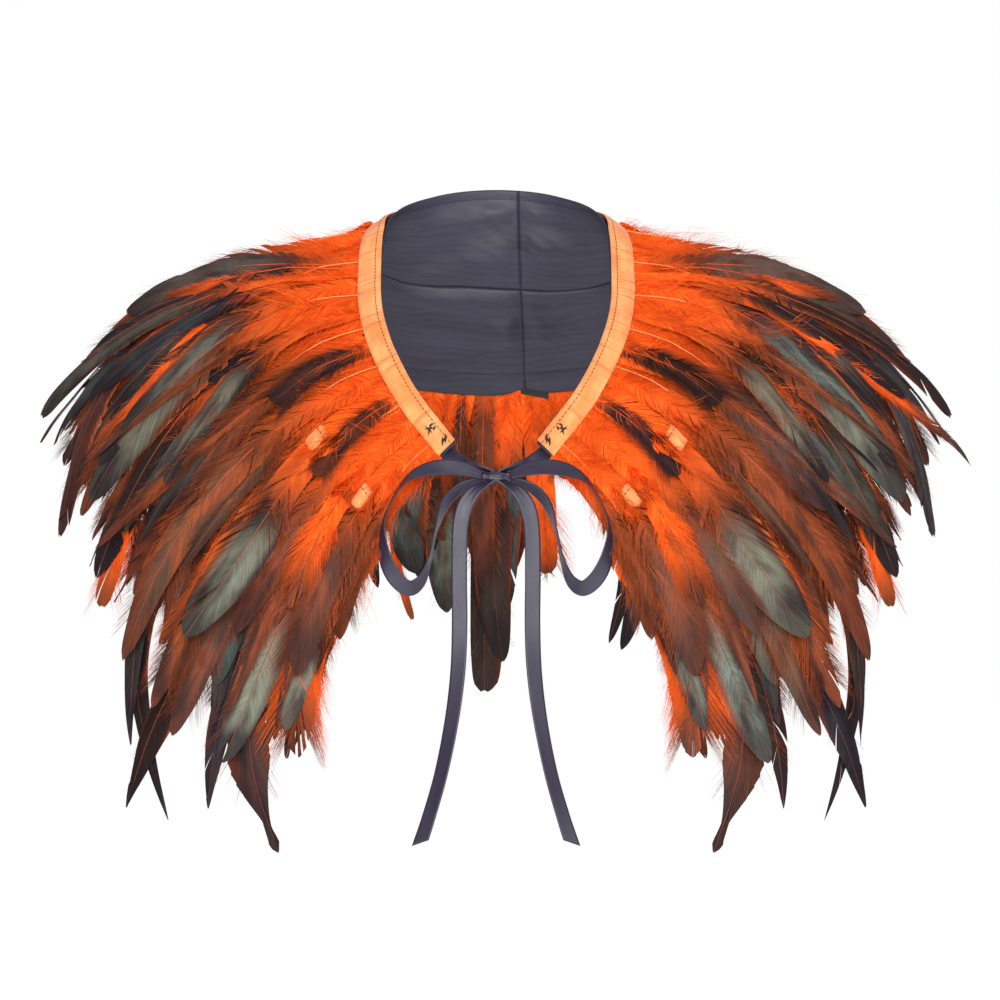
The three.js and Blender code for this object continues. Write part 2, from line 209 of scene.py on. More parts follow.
def make_piece(name, points, quads, materials, values=None, maps=None, face_material=None):
    """A smooth mesh object from points and four-cornered faces, with values on its points."""
    mesh = bpy.data.meshes.new(name)
    mesh.vertices.add(len(points))
    mesh.vertices.foreach_set("co", np.asarray(points, np.float32).ravel())
    corners = np.asarray(quads, np.int32).ravel()
    mesh.loops.add(len(corners))
    mesh.loops.foreach_set("vertex_index", corners)
    mesh.polygons.add(len(quads))
    mesh.polygons.foreach_set("loop_start", np.arange(0, len(corners), 4, dtype=np.int32))
    for label, data in (values or {}).items():
        kind = "FLOAT_VECTOR" if np.ndim(data) == 2 else "FLOAT"
        layer = mesh.attributes.new(label, kind, "POINT")
        layer.data.foreach_set(ON_POINTS[kind], np.asarray(data, np.float32).ravel())
    for label, data in (maps or {}).items():
        layer = mesh.uv_layers.new(name=label)
        layer.data.foreach_set("uv", np.asarray(data, np.float32)[corners].ravel())
    for material in materials:
        mesh.materials.append(material)
    if face_material is not None:
        mesh.polygons.foreach_set("material_index", np.asarray(face_material, np.int32))
    mesh.update(calc_edges=True)
    mesh.shade_smooth()
    piece = bpy.data.objects.new(name, mesh)
    bpy.context.scene.collection.objects.link(piece)
    return piece


def grid_quads(rows, columns, start=0, flip=False):
    """The faces of a grid of points that is stored row by row."""
    a = start + np.arange(rows - 1)[:, None] * columns + np.arange(columns - 1)[None, :]
    quads = np.stack([a, a + 1, a + columns + 1, a + columns], axis=-1).reshape(-1, 4)
    return quads[:, ::-1] if flip else quads


def tube_quads(rings, sides, inside_out=False):
    """The faces of a tube whose points are stored ring by ring."""
    index = np.arange(rings * sides).reshape(rings, sides)
    after = np.roll(index, -1, axis=1)
    quads = np.stack([index[:-1], after[:-1], after[1:], index[1:]], axis=-1).reshape(-1, 4)
    return quads[:, [0, 3, 2, 1]] if inside_out else quads


def closed_sheet(top, bottom):
    """Points and faces of a thin closed sheet between two grids of points of the same size."""
    rows, columns = top.shape[:2]
    count = rows * columns
    index = np.arange(count).reshape(rows, columns)
    rim = np.concatenate([index[0, :-1], index[:-1, -1], index[-1, :0:-1], index[:0:-1, 0]])
    next_rim = np.roll(rim, -1)
    sides = np.stack([rim, rim + count, next_rim + count, next_rim], axis=-1)
    faces = np.vstack([grid_quads(rows, columns), grid_quads(rows, columns, count, flip=True), sides])
    return np.concatenate([top.reshape(-1, 3), bottom.reshape(-1, 3)]), faces


def sheet_maps(along, across):
    """Two maps of a closed sheet: metres of cloth, and both faces side by side for baking."""
    cloth = np.stack([along, across], axis=-1).reshape(-1, 2)
    share = (cloth - cloth.min(0)) / np.maximum(np.ptp(cloth, axis=0), 1e-9)
    faces = [share * BAKE_SPAN + corner for corner in (UPPER_CORNER, LOWER_CORNER)]
    return {"cloth": np.vstack([cloth, cloth]), "OFBake": np.vstack(faces)}


print("mesh helpers ready")


# %% Write helpers for shaders
def srgb(red, green, blue):
    """A colour as a paint program shows it, as the linear colour that a shader needs."""
    shares = [x / 255 for x in (red, green, blue)]
    return tuple([x / 12.92 if x <= 0.04045 else ((x + 0.055) / 1.055) ** 2.4 for x in shares] + [1.0])


class Paint:
    """A material whose nodes are made one call at a time."""

    def __init__(self, name):
        self.material = bpy.data.materials.new(name)
        self.material.use_nodes = True
        self.nodes = self.material.node_tree.nodes
        self.links = self.material.node_tree.links
        self.surface = self.nodes["Principled BSDF"]

    def add(self, kind, inputs, output=0, **options):
        """One output of a new node, with its inputs joined and its options set."""
        made = self.nodes.new("ShaderNode" + kind)
        for option, value in options.items():
            setattr(made, option, value)
        for socket, value in inputs.items():
            self.join(made.inputs[socket], value)
        return made.outputs[output]

    def join(self, socket, value):
        """Feed a socket from another node, or give it a plain value."""
        if isinstance(value, bpy.types.NodeSocket):
            self.links.new(value, socket)
        else:
            socket.default_value = value

    def math(self, operation, first, second=0.0):
        return self.add("Math", {0: first, 1: second}, operation=operation)

    def times(self, first, second):
        return self.math("MULTIPLY", first, second)

    def plus(self, first, second):
        return self.math("ADD", first, second)

    def attribute(self, label, output=1):
        return self.add("Attribute", {}, output, attribute_name=label)

    def parts(self, vector):
        """The three numbers of a vector."""
        return list(self.add("SeparateXYZ", {0: vector}).node.outputs)

    def blend(self, share, first, second, how="MIX"):
        inputs = {0: share, 6: first, 7: second}
        return self.add("Mix", inputs, 2, data_type="RGBA", blend_type=how)

    def rise(self, value, low, high, start=0.0, end=1.0):
        """A smooth step of a value, from start at low to end at high."""
        inputs = {"Value": value, "From Min": low, "From Max": high, "To Min": start, "To Max": end}
        return self.add("MapRange", inputs, interpolation_type="SMOOTHSTEP")

    def cloud(self, place, scale, detail=2.0):
        """Soft noise from 0 to 1."""
        return self.add("TexNoise", {"Vector": place, "Scale": scale, "Detail": detail})

    def wave(self, place, scale, distortion, direction):
        """Fine ribs across one direction."""
        inputs = {"Vector": place, "Scale": scale, "Distortion": distortion}
        return self.add("TexWave", inputs, 1, bands_direction=direction)

    def stretched(self, place, scale):
        """A place scaled differently each way, so that a cloud of noise turns into streaks."""
        return self.add("VectorMath", {0: place, 1: scale}, operation="MULTIPLY")

    def finish(self, colour, roughness, bump=None, distance=0.0002, strength=0.5, **constants):
        """The finished material, with a bump if there is one, and with plain values on other sockets."""
        self.join(self.surface.inputs["Base Color"], colour)
        self.join(self.surface.inputs["Roughness"], roughness)
        for socket, value in constants.items():
            self.surface.inputs[socket.replace("_", " ")].default_value = value
        if bump is not None:
            inputs = {"Height": bump, "Distance": distance, "Strength": strength}
            self.links.new(self.add("Bump", inputs), self.surface.inputs["Normal"])
        return self.material


print("shader helpers ready")

# %% [markdown]
# ## Satin ribbon
# Ribbon satin shows long floating threads one way, so it shines in a band across the ribbon and has a
# faint rib. A picture of satin would blur from near, so the finish is drawn with nodes: the rib is a fine
# wave along the ribbon in the bump, the colour drifts a little with slow noise, and fine streaks of a
# paler tone are its threads. The map "cloth" gives every point its place on the flat ribbon in metres,
# so the rib follows each twist.
# %% Mix the ribbon satin
def ribbon_satin():
    paint = Paint("ribbon_satin")
    flat = paint.add("UVMap", {}, uv_map="cloth")
    drift = paint.cloud(paint.stretched(flat, (40, 160, 1)), 1.0, 3.0)
    threads = paint.cloud(paint.stretched(flat, (500, 4200, 1)), 1.0, 1.0)
    tone = paint.blend(drift, srgb(25, 20, 39), srgb(34, 29, 51))
    colour = paint.blend(paint.times(threads, 0.35), tone, srgb(50, 45, 70))
    rib = paint.wave(flat, 420.0, 0.6, "X")
    gloss = paint.rise(drift, 0.3, 0.7, 0.36, 0.46)
    return paint.finish(colour, gloss, rib, 0.00008, 0.3, Specular_IOR_Level=0.6)


RIBBON_SATIN = ribbon_satin()
print("ribbon material:", RIBBON_SATIN.name)

# %% [markdown]
# ## The bow
# Each ribbon leaves the end of the neck tape, runs into the knot and falls as a tail, and a loop stands
# out on each side. Loose ribbon is a cord: it has one real length, and it must lie where its solids lie.
# So the routes are the same short lists of points, and a smooth curve runs through them. The strip is
# swept along the curve with the width and the roll of each point, instead of a curve object with bevel,
# because a ribbon narrows and turns on its way into a knot.
# %% List the ribbon's routes
KNOT_PLACE = np.array([0.0, -116.0, -121.5])
KNOT_SIZE = np.array([20.5, 8.0, 8.5])
RIBBON_WIDTH = 10.0
# columns: across, up and forward from the knot, width, roll in degrees, for the ribbon on the left
TIE = [
    [-37.1, 22.4, -17.2, 10, -19], [-31.3, 15.1, -13.7, 10, -19], [-22, 9.2, -7.5, 8.5, 0],
    [-13, 6.2, -1.5, 6, 40], [-6.5, 4.8, 0, 5, 68],
]
THROUGH_KNOT = [[-2.4, 2.6, 0.4, 4, 60], [-2.2, -2.4, 0.9, 4, 60]]
TAIL = [
    [-6.2, -4.8, 1.4, 5, 55], [-13, -8.6, 4, 8, 26], [-19.5, -18, 5, 10, 10], [-22.8, -33, 5, 10, 4],
    [-23.4, -62, 4, 10, 0], [-23.2, -95, 3, 10, 4], [-24.4, -125, 2.5, 10, 18], [-28.4, -157, 3, 10, 28],
    [-35, -190, 4, 10, 32], [-43, -218, 5, 10, 30], [-48, -233, 6, 10, 26],
]
LOOP = [
    [-8.7, 0.8, 2.2, 5, 30], [-18, 4.2, 7, 8.5, 14], [-31, 6, 14, 10, 14], [-45, 3.6, 21, 10, 36],
    [-57, -3.6, 27, 10, 72], [-66, -17, 32, 10, 84], [-71, -32, 36, 10, 78], [-70, -49, 38.5, 10, 40],
    [-64, -63, 38, 10, 10], [-55, -70.5, 34.5, 10, 12], [-47, -66, 28, 10, 48], [-41.5, -52, 19, 10, 76],
    [-38, -34, 11, 10, 82], [-32, -17, 3.5, 9, 50], [-22, -7, -1, 7, 26], [-8.9, -1.6, -2.6, 5, 40],
]
SIDES = {"left": 1, "right": -1}


def smooth_route(route, steps):
    """Points, widths and rolls along a smooth curve through a route's rows."""
    rows = np.array(route, float)
    gaps = np.sqrt(np.linalg.norm(np.diff(rows[:, :3], axis=0), axis=1))
    knots = np.concatenate([[0], np.cumsum(gaps)])
    return smooth_through(np.column_stack([knots, rows]), np.linspace(0, knots[-1], steps))


print("routes of", len(TIE) + len(THROUGH_KNOT) + len(TAIL), "and", len(LOOP), "points")

# %% Sweep a ribbon along its route
RIBBON_THICKNESS = 0.45
ACROSS_STEPS = 9
PLEAT_HEIGHT = 1.1
PLEAT_TURN = 9.0
CUP = 0.12
SWAY = 0.12
SWAY_RUN = 0.021
WAVE = 0.25
WAVE_RUN = 0.034
SLANT_RUN = 0.012
TOWARDS_VIEWER = np.array([0.0, -1.0, 0.0])


def sweep_ribbon(name, route, mirror, steps, slant=0.0):
    """A thin closed strip along a route, with softly cupped edges and a slanted far end."""
    way = smooth_route(route, steps)
    centre = MM * (KNOT_PLACE + way[:, [0, 2, 1]] * [mirror, -1, 1])
    forward = unit(np.gradient(centre, axis=0))
    flat = unit(np.cross(TOWARDS_VIEWER, forward))
    face = np.cross(forward, flat)
    roll = np.radians(way[:, 4])[:, None] * mirror
    side = flat * np.cos(roll) + face * np.sin(roll)
    up = np.cross(forward, side)
    share = np.linspace(-1, 1, ACROSS_STEPS)
    half = MM * way[:, 3][:, None] / 2
    gathered = 1 - way[:, 3][:, None] / RIBBON_WIDTH
    pleats = gathered * PLEAT_HEIGHT * np.cos(share * PLEAT_TURN)
    distance = np.concatenate([[0], np.cumsum(np.linalg.norm(np.diff(centre, axis=0), axis=1))])
    sway = SWAY * np.sin(distance / SWAY_RUN + mirror)[:, None] * share
    cup = CUP * share**2 + WAVE * np.sin(distance / WAVE_RUN)[:, None] + sway
    raised = MM * (cup + pleats)
    at_end = np.clip((distance - distance[-1] + SLANT_RUN) / SLANT_RUN, 0, 1)[:, None]
    cut = at_end * slant * MM * share * mirror
    middle = (
        centre[:, None] + side[:, None] * (half * share)[..., None]
        + up[:, None] * raised[..., None] + forward[:, None] * cut[..., None]
    )
    lift = up[:, None] * (RIBBON_THICKNESS / 2 * MM)
    points, faces = closed_sheet(middle + lift, middle - lift)
    along = np.repeat(distance[:, None], ACROSS_STEPS, axis=1)
    maps = sheet_maps(along, half * share + 0 * along)
    piece = make_piece(name, points, faces, [RIBBON_SATIN], maps=maps)
    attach(piece, "root")
    return piece, centre, distance[-1]


print("ribbon of", RIBBON_WIDTH, "by", RIBBON_THICKNESS, "mm")

# %% Tie the bow
RIBBON_STEPS = 190
LOOP_STEPS = 150
SLANT = -3.5


def tie_up(strip, path, length, far_end):
    """Print how long a strip is."""
    print(strip.name, "is", round(length, 3), "m long")


for side_name, mirror in SIDES.items():
    made = sweep_ribbon(f"ribbon_{side_name}", TIE + THROUGH_KNOT + TAIL, mirror, RIBBON_STEPS, SLANT)
    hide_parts(f"ribbon_tie_{side_name}", f"ribbon_tail_{side_name}")
    tie_up(*made, "bare")
    made = sweep_ribbon(f"bow_loop_{side_name}", LOOP, mirror, LOOP_STEPS)
    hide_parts(f"ribbon_loop_{side_name}")
    tie_up(*made, "object")

# %% Wrap the knot
KNOT_RINGS = 41
KNOT_TURNS = 56
KNOT_CREASES = (-0.56, 0.5)
KNOT_CREASE_RUN = 0.09
KNOT_CREASE_DEPTH = 0.2
KNOT_GATHERS = 8
KNOT_GATHER_DEPTH = 0.075
KNOT_TWIST = 2.4
KNOT_FLATNESS = 0.78
# how much of the knot's girth is a square-ended barrel, and how much a round belly
KNOT_BARREL = 0.85
KNOT_BELLY = 0.15
KNOT_SQUARENESS = 12
# metres of cloth to a radian round the knot, and from its middle to its end
KNOT_CLOTH = (0.004, 0.006)
# what brings the same two numbers into the square of the bake map
KNOT_BAKE = (7, 2.1)


def wrap_knot():
    """A short flat barrel of ribbon wound round the crossing, gathered along and creased at its ends."""
    along = np.linspace(-1, 1, KNOT_RINGS)[:, None]
    angle = np.linspace(0, 2 * math.pi, KNOT_TURNS, endpoint=False)[None, :]
    girth = (1 - np.abs(along) ** KNOT_SQUARENESS) ** 0.5 * KNOT_BARREL + KNOT_BELLY * (1 - along**2)
    twisted = np.sin(angle * KNOT_GATHERS + along * KNOT_TWIST)
    gathers = 1 + KNOT_GATHER_DEPTH * twisted * np.abs(np.sin(angle)) ** 0.5
    pinches = sum(np.exp(-(((along - place) / KNOT_CREASE_RUN) ** 2)) for place in KNOT_CREASES)
    radius = girth * gathers * (1 - KNOT_CREASE_DEPTH * pinches)
    forward = KNOT_FLATNESS * radius * np.cos(angle)
    offset = np.stack([along + 0 * angle, radius * np.sin(angle), forward], axis=-1)
    points = MM * (KNOT_PLACE + offset * KNOT_SIZE / 2)
    quads = tube_quads(KNOT_RINGS, KNOT_TURNS, inside_out=True)
    cloth = np.stack([angle * KNOT_CLOTH[0] + 0 * along, along * KNOT_CLOTH[1] + 0 * angle], axis=-1)
    share = np.stack([angle / KNOT_BAKE[0] + 0 * along, along / KNOT_BAKE[1] + 0.5 + 0 * angle], axis=-1)
    maps = {"cloth": cloth.reshape(-1, 2), "OFBake": share.reshape(-1, 2)}
    return make_piece("bow_knot", points.reshape(-1, 3), quads, [RIBBON_SATIN], maps=maps)


bow_knot = wrap_knot()
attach(bow_knot, "root")
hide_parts("ribbon_knot")
print("knot of", len(bow_knot.data.polygons), "faces")

# %% [markdown]
# ## Lining
# The inside of the cape is a thin charcoal satin. It is cut in four: a standing collar and a yoke below
# it, each in two halves that meet in a seam near the nape. Cloth simulation would only relax the sharp
# little drag lines away, so the wrinkles are laid as noise that is stretched along the seams.
# They fade where the cloth is held, at its edges and stitches, and the seams are real valleys.
# %% Mix the lining satin
def lining_satin():
    paint = Paint("lining_satin")
    flat = paint.add("UVMap", {}, uv_map="cloth")
    drift = paint.cloud(paint.stretched(flat, (14, 60, 1)), 1.0, 4.0)
    pulls_and_sheen = paint.cloud(paint.stretched(flat, (11, 170, 1)), 1.0, 4.0)
    threads = paint.cloud(paint.stretched(flat, (260, 3600, 1)), 1.0, 2.0)
    watered = paint.add("TexWave", {
        "Vector": flat, "Scale": 62.0, "Distortion": 16.0, "Detail": 3.0, "Detail Scale": 0.4,
    }, 1, bands_direction="Y")
    tone = paint.blend(paint.rise(drift, 0.3, 0.7), srgb(30, 28, 41), srgb(42, 40, 55))
    # paler along the pulls, whose relief is in the bump: a painted sheen on the drag lines
    tone = paint.blend(paint.rise(pulls_and_sheen, 0.35, 0.7, 0.0, 0.22), tone, srgb(62, 60, 77))
    tone = paint.blend(paint.times(watered, 0.12), tone, srgb(72, 70, 88))
    colour = paint.blend(paint.times(threads, 0.25), tone, srgb(56, 54, 70))
    gloss = paint.rise(drift, 0.3, 0.7, 0.4, 0.54)
    height = paint.plus(paint.times(threads, 0.3), paint.times(pulls_and_sheen, 0.4))
    return paint.finish(colour, gloss, height, 0.0007, 0.35, Specular_IOR_Level=0.4)


LINING_SATIN = lining_satin()
print("lining material:", LINING_SATIN.name)

# %% Cut and crease the lining panels
LINING_THICKNESS = 1.2
# columns: s and v of the seam between collar and yoke
SEAM_LINE = np.array([
    [0.0, 60], [0.6, 60], [0.78, 62], [0.84, 67], [0.87, 69.5], [0.91, 70.5], [0.955, 69], [1.0, 68],
    [1.05, 67], [1.1, 66.8], [1.135, 65], [1.155, 62], [1.2, 57], [1.35, 54], [2.0, 54],
])
HEM_NOTCH = 4.6
HEM_NOTCH_RUN = 9.0
HEM_NOTCH_RISE = 22.0
BACK_SEAM_S = 0.955
BACK_SEAM_DRIFT = 0.011
BACK_SEAM_RUN = 60.0
SEAM_CROWDING = 1.6
SEAM_DEPTH = 0.8
SEAM_REACH = 0.7
HELD_REACH = 7.0
TOP_STITCH_V = 6.0
HEM_STITCH_V = HEM_V - 16.0
STITCH_DEPTH = 0.55
PANEL_S_STEPS = 84
PANEL_V_STEPS = 42
# columns: a fold's length in metres, its depth in mm, its slant, and the seed of its noise
LONG_FOLDS = [0.07, 13, 60, 3.1]
FINE_FOLDS = [0.03, 6.5, 90, 8.4]
SLACK = [0.05, 24, 0, 5.7]
RIDGE = 0.9
RIDGE_SHARPNESS = 1.9
FINE_RIDGE = 0.35
FINE_SHARPNESS = 2.1
SLACK_DEPTH = 2.8
SLACK_LEVEL = 0.3
CREASED_LEVEL = 0.2
CREASED_GAIN = 1.6


def seam_v(s):
    """The v of the seam between collar and yoke, which hangs in a shallow bow at the nape."""
    return smooth_through(SEAM_LINE, s.ravel())[:, 0].reshape(s.shape)


def clouds(points, seed):
    """Smooth noise from -1 to 1 at points that are given in units of the noise's own size."""
    values = [noise.noise(Vector((a, b, seed))) for a, b in points.reshape(-1, 2)]
    return np.array(values).reshape(points.shape[:-1])


def folds(length, v, kind):
    """Smooth noise over the cloth, in folds of one kind."""
    run, depth, slant, seed = kind
    return clouds(np.stack([length / run, v / depth + length * slant], axis=-1), seed)


def drag_lines(length, v):
    """How far the satin is pulled inwards, in millimetres: long creases along the seams."""
    long_ridge = np.clip(1 - RIDGE_SHARPNESS * np.abs(folds(length, v, LONG_FOLDS)), 0, 1) ** 2
    fine_ridge = np.clip(1 - FINE_SHARPNESS * np.abs(folds(length, v, FINE_FOLDS)), 0, 1) ** 2
    slack = folds(length, v, SLACK)
    creased = np.clip(CREASED_LEVEL + CREASED_GAIN * slack, 0, 1)
    bagged = SLACK_DEPTH * np.clip(SLACK_LEVEL + slack, 0, 1)
    return (RIDGE * long_ridge + FINE_RIDGE * fine_ridge) * creased + bagged


def lining_panel(name, s0, s1, top_v, low_v):
    """One panel of the lining between two lines of v, creased, with valleys along its seams."""
    steps = np.linspace(0, 1, PANEL_S_STEPS)
    steps = 1 - (1 - steps) ** SEAM_CROWDING if s1 == BACK_SEAM_S else steps**SEAM_CROWDING
    s = (s0 + (s1 - s0) * steps)[:, None] + np.zeros(PANEL_V_STEPS)[None, :]
    v = top_v(s) + (low_v(s) - top_v(s)) * np.linspace(0, 1, PANEL_V_STEPS)[None, :]
    length = np.interp(s, S_LINES, way_round(float(v.mean())))
    from_edge = np.minimum(v - top_v(s), low_v(s) - v)
    from_back = np.abs(length - np.interp(BACK_SEAM_S, S_LINES, way_round(float(v.mean())))) / MM
    valley = np.exp(-(((v - seam_v(s)) / SEAM_REACH) ** 2)) + np.exp(-((from_back / SEAM_REACH) ** 2))
    from_thread = np.minimum(np.abs(v - TOP_STITCH_V), np.abs(v - HEM_STITCH_V))
    pulled = drag_lines(length, v)
    for far in (from_edge, from_back, from_thread):
        pulled = pulled * (1 - np.exp(-((far / HELD_REACH) ** 2)))
    sewn = np.exp(-((from_thread / SEAM_REACH) ** 2))
    inside = -LINING_THICKNESS - pulled + SEAM_DEPTH * np.clip(valley, 0, 1) + STITCH_DEPTH * sewn
    near_hem = np.clip((v - HEM_V + HEM_NOTCH_RISE) / HEM_NOTCH_RISE, 0, 1)
    v = v - HEM_NOTCH * np.exp(-((from_back / HEM_NOTCH_RUN) ** 2)) * near_hem
    drift = BACK_SEAM_DRIFT * np.clip(v / HEM_V, 0, 1) * np.exp(-((from_back / BACK_SEAM_RUN) ** 2))
    points, faces = closed_sheet(on_cape(s + drift, v, -pulled), on_cape(s + drift, v, inside))
    panel = make_piece(name, points, faces, [LINING_SATIN], maps=sheet_maps(length, v * MM))
    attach(panel, "root")
    return panel


print("panels of", PANEL_S_STEPS, "by", PANEL_V_STEPS, "points")

# %% Measure the panels and hang them in
CUT_S_STEPS = 201
CUT_V_STEPS = 9


def cut_size(s0, s1, top_v, low_v):
    """The widest way round and the greatest depth of a panel, and the area of its cut, in metres."""
    s = np.linspace(s0, s1, CUT_S_STEPS)[:, None] + np.zeros(CUT_V_STEPS)[None, :]
    v = top_v(s) + (low_v(s) - top_v(s)) * np.linspace(0, 1, CUT_V_STEPS)[None, :]
    points = on_cape(s, v, 0 * v)
    round_steps = np.linalg.norm(np.diff(points, axis=0), axis=-1)
    depths = np.linalg.norm(np.diff(points, axis=1), axis=-1).sum(axis=1)
    area = (round_steps.mean(axis=1) * (depths[1:] + depths[:-1]) / 2).sum()
    return (float(round_steps.sum(axis=0).max()), float(depths.max())), float(area)


def neck_line(s):
    return 0 * s


def hem_line(s):
    return HEM_V + 0 * s


panel_sides = {"right": (0, BACK_SEAM_S), "left": (BACK_SEAM_S, 2)}
panel_levels = {"collar": (neck_line, seam_v), "yoke": (seam_v, hem_line)}
for level, (top_v, low_v) in panel_levels.items():
    for side_name, (s0, s1) in panel_sides.items():
        node = f"lining_{level}_{side_name}"
        panel = lining_panel(f"satin_{level}_{side_name}", s0, s1, top_v, low_v)
        flat, area = cut_size(s0, s1, top_v, low_v)
        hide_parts(node)
        print(panel.name, "cut from", [round(x, 3) for x in flat], "m, area", round(area, 4))

# %% [markdown]
# ## Seam facing in painted shade
# Where the back seam ends, the hem lifts and the gap below it lies in shade. A scrap of the seam
# allowance hangs out there below the hem, and its near-black is painted shade. It could be pulled out of
# a panel's edge, but it slants across the seam, so it is a small flap of its own between the lining and
# the feathers. Its finish is the one that the threads have, a dull dark cotton with a fine twist, so the
# paint is written once for both.
# %% Show the seam allowance below the hem, in painted shade
FACING_S_STEPS = 14
FACING_V_STEPS = 5
FACING_TOP = -0.4
FACING_UNDER = -1.0
FACING_START = 3.0
FACING_RUN = 19.0
FACING_DEPTH = 9.0
FACING_DROP = 6.5
FACING_LIFT = 2.0
FACING_NARROW = 0.15
FACING_WIDENS = 0.85


def thread_paint(name, dark, light):
    paint = Paint(name)
    place = paint.add("TexCoord", {}, 3)
    twist = paint.cloud(place, 1800.0, 2.0)
    return paint.finish(paint.blend(twist, dark, light), 0.7, twist, 0.00005, 0.4, Sheen_Weight=0.1)


# near-black: painted shade in the gap under the lifted hem at the back seam
FACING_PAINTED_SHADE = thread_paint("facing_painted_shade", srgb(8, 7, 9), srgb(20, 18, 22))


def seam_facing_shade():
    """A little flap of the seam allowance, slanting down to the right behind the hem, painted near-black
    as the shade under the lifted hem.
    """
    way = way_round(HEM_V)
    share = np.linspace(0, 1, FACING_S_STEPS)
    seam_s = BACK_SEAM_S + BACK_SEAM_DRIFT
    far = np.interp(seam_s, S_LINES, way) + (FACING_START - FACING_RUN * share) * MM
    s = np.interp(far, way, S_LINES)[:, None] + np.zeros(FACING_V_STEPS)[None, :]
    low = FACING_DROP * (FACING_NARROW + FACING_WIDENS * share) - FACING_LIFT
    v = HEM_V - FACING_DEPTH + (FACING_DEPTH + low[:, None]) * np.linspace(0, 1, FACING_V_STEPS)[None, :]
    points, faces = closed_sheet(on_cape(s, v, FACING_TOP + 0 * v), on_cape(s, v, FACING_UNDER + 0 * v))
    facing = make_piece("seam_facing_shade", points, faces, [FACING_PAINTED_SHADE])
    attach(facing, "root")
    return facing


print("seam facing of", len(seam_facing_shade().data.polygons), "faces")

# %% [markdown]
# ## Stitching
# A topstitch is a row of short threads that dip into the cloth at both ends. A dashed line in the
# material would do from afar, but real thread catches the light, so each stitch is a tiny tube that
# swells in its middle, and all the stitches of one thread are one mesh. Two rows hold the lining's
# turned edges, and one row runs along each tape. A row is sewn along a line that tells its v and height
# at each s, so that it goes with its cloth wherever that is tucked in or stands out.
# %% Make stitches
STITCH_RINGS = 4
STITCH_SIDES = 4
STITCH_TIP = 0.02


def stitch_tubes(starts, ends, outward, radius, arch):
    """Points and faces of one small arched tube for every stitch."""
    t = np.linspace(0, 1, STITCH_RINGS)
    swell = np.sqrt(np.clip(1 - (2 * t - 1) ** 4, STITCH_TIP, 1))
    angle = np.linspace(0, 2 * math.pi, STITCH_SIDES, endpoint=False)
    forward = unit(ends - starts)
    side = unit(np.cross(forward, outward))
    middle = starts[:, None] + (ends - starts)[:, None] * t[None, :, None]
    middle = middle + outward[:, None] * (arch * (1 - (2 * t - 1) ** 2))[None, :, None]
    ring = (
        side[:, None, None] * np.cos(angle)[None, None, :, None]
        + outward[:, None, None] * np.sin(angle)[None, None, :, None]
    )
    points = middle[:, :, None] + ring * radius * swell[None, :, None, None]
    quads = tube_quads(STITCH_RINGS, STITCH_SIDES)
    shifts = np.arange(len(starts)) * STITCH_RINGS * STITCH_SIDES
    return points.reshape(-1, 3), (quads[None] + shifts[:, None, None]).reshape(-1, 4)


print("stitches of", STITCH_RINGS, "rings")

# %% Sew along a line
STITCH_ARCH = 0.12
THREAD_END_S = 0.004


def even_places(v, s0, s1, count):
    """Values of s spread evenly by length along the line at v."""
    way = way_round(v)
    ends = np.interp([s0, s1], S_LINES, way)
    return np.interp(np.linspace(ends[0], ends[1], count), way, S_LINES)


def sew_along(name, lines, material, pitch=3.2, thread=0.42, share=0.78):
    """One mesh of stitches. Each row has a v, a line that gives v and height at s, and a facing."""
    points, quads, count = [], [], 0
    for v, line, facing in lines:
        total = np.ptp(np.interp([THREAD_END_S, 2 - THREAD_END_S], S_LINES, way_round(v))) / MM
        marks = even_places(v, THREAD_END_S, 2 - THREAD_END_S, int(total / pitch) + 1)
        starts = marks[:-1]
        ends = starts + np.diff(marks) * share
        outward = unit(read_grid(CAPE_NORMAL, starts, line(starts)[0])) * facing
        made = stitch_tubes(on_cape(starts, *line(starts)), on_cape(ends, *line(ends)), outward,
                            thread / 2 * MM, STITCH_ARCH * MM)
        points.append(made[0])
        quads.append(made[1] + count)
        count += len(made[0])
    piece = make_piece(name, np.vstack(points), np.vstack(quads), [material])
    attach(piece, "root")
    return piece


print("rows of thread end at s", THREAD_END_S)

# %% Topstitch the lining
LINING_THREAD_SINK = 0.75


def level_line(v):
    """The v and height of stitches on the inside of the lining."""
    return lambda s: (v + 0 * s, 0 * s - LINING_THICKNESS + STITCH_DEPTH - LINING_THREAD_SINK)


NAVY_THREAD = thread_paint("navy_thread", srgb(12, 11, 17), srgb(26, 25, 35))
lining_stitches = sew_along("lining_stitches", [
    (v, level_line(v), -1) for v in (TOP_STITCH_V, HEM_STITCH_V)
], NAVY_THREAD)
print("lining thread:", len(lining_stitches.data.polygons), "faces")

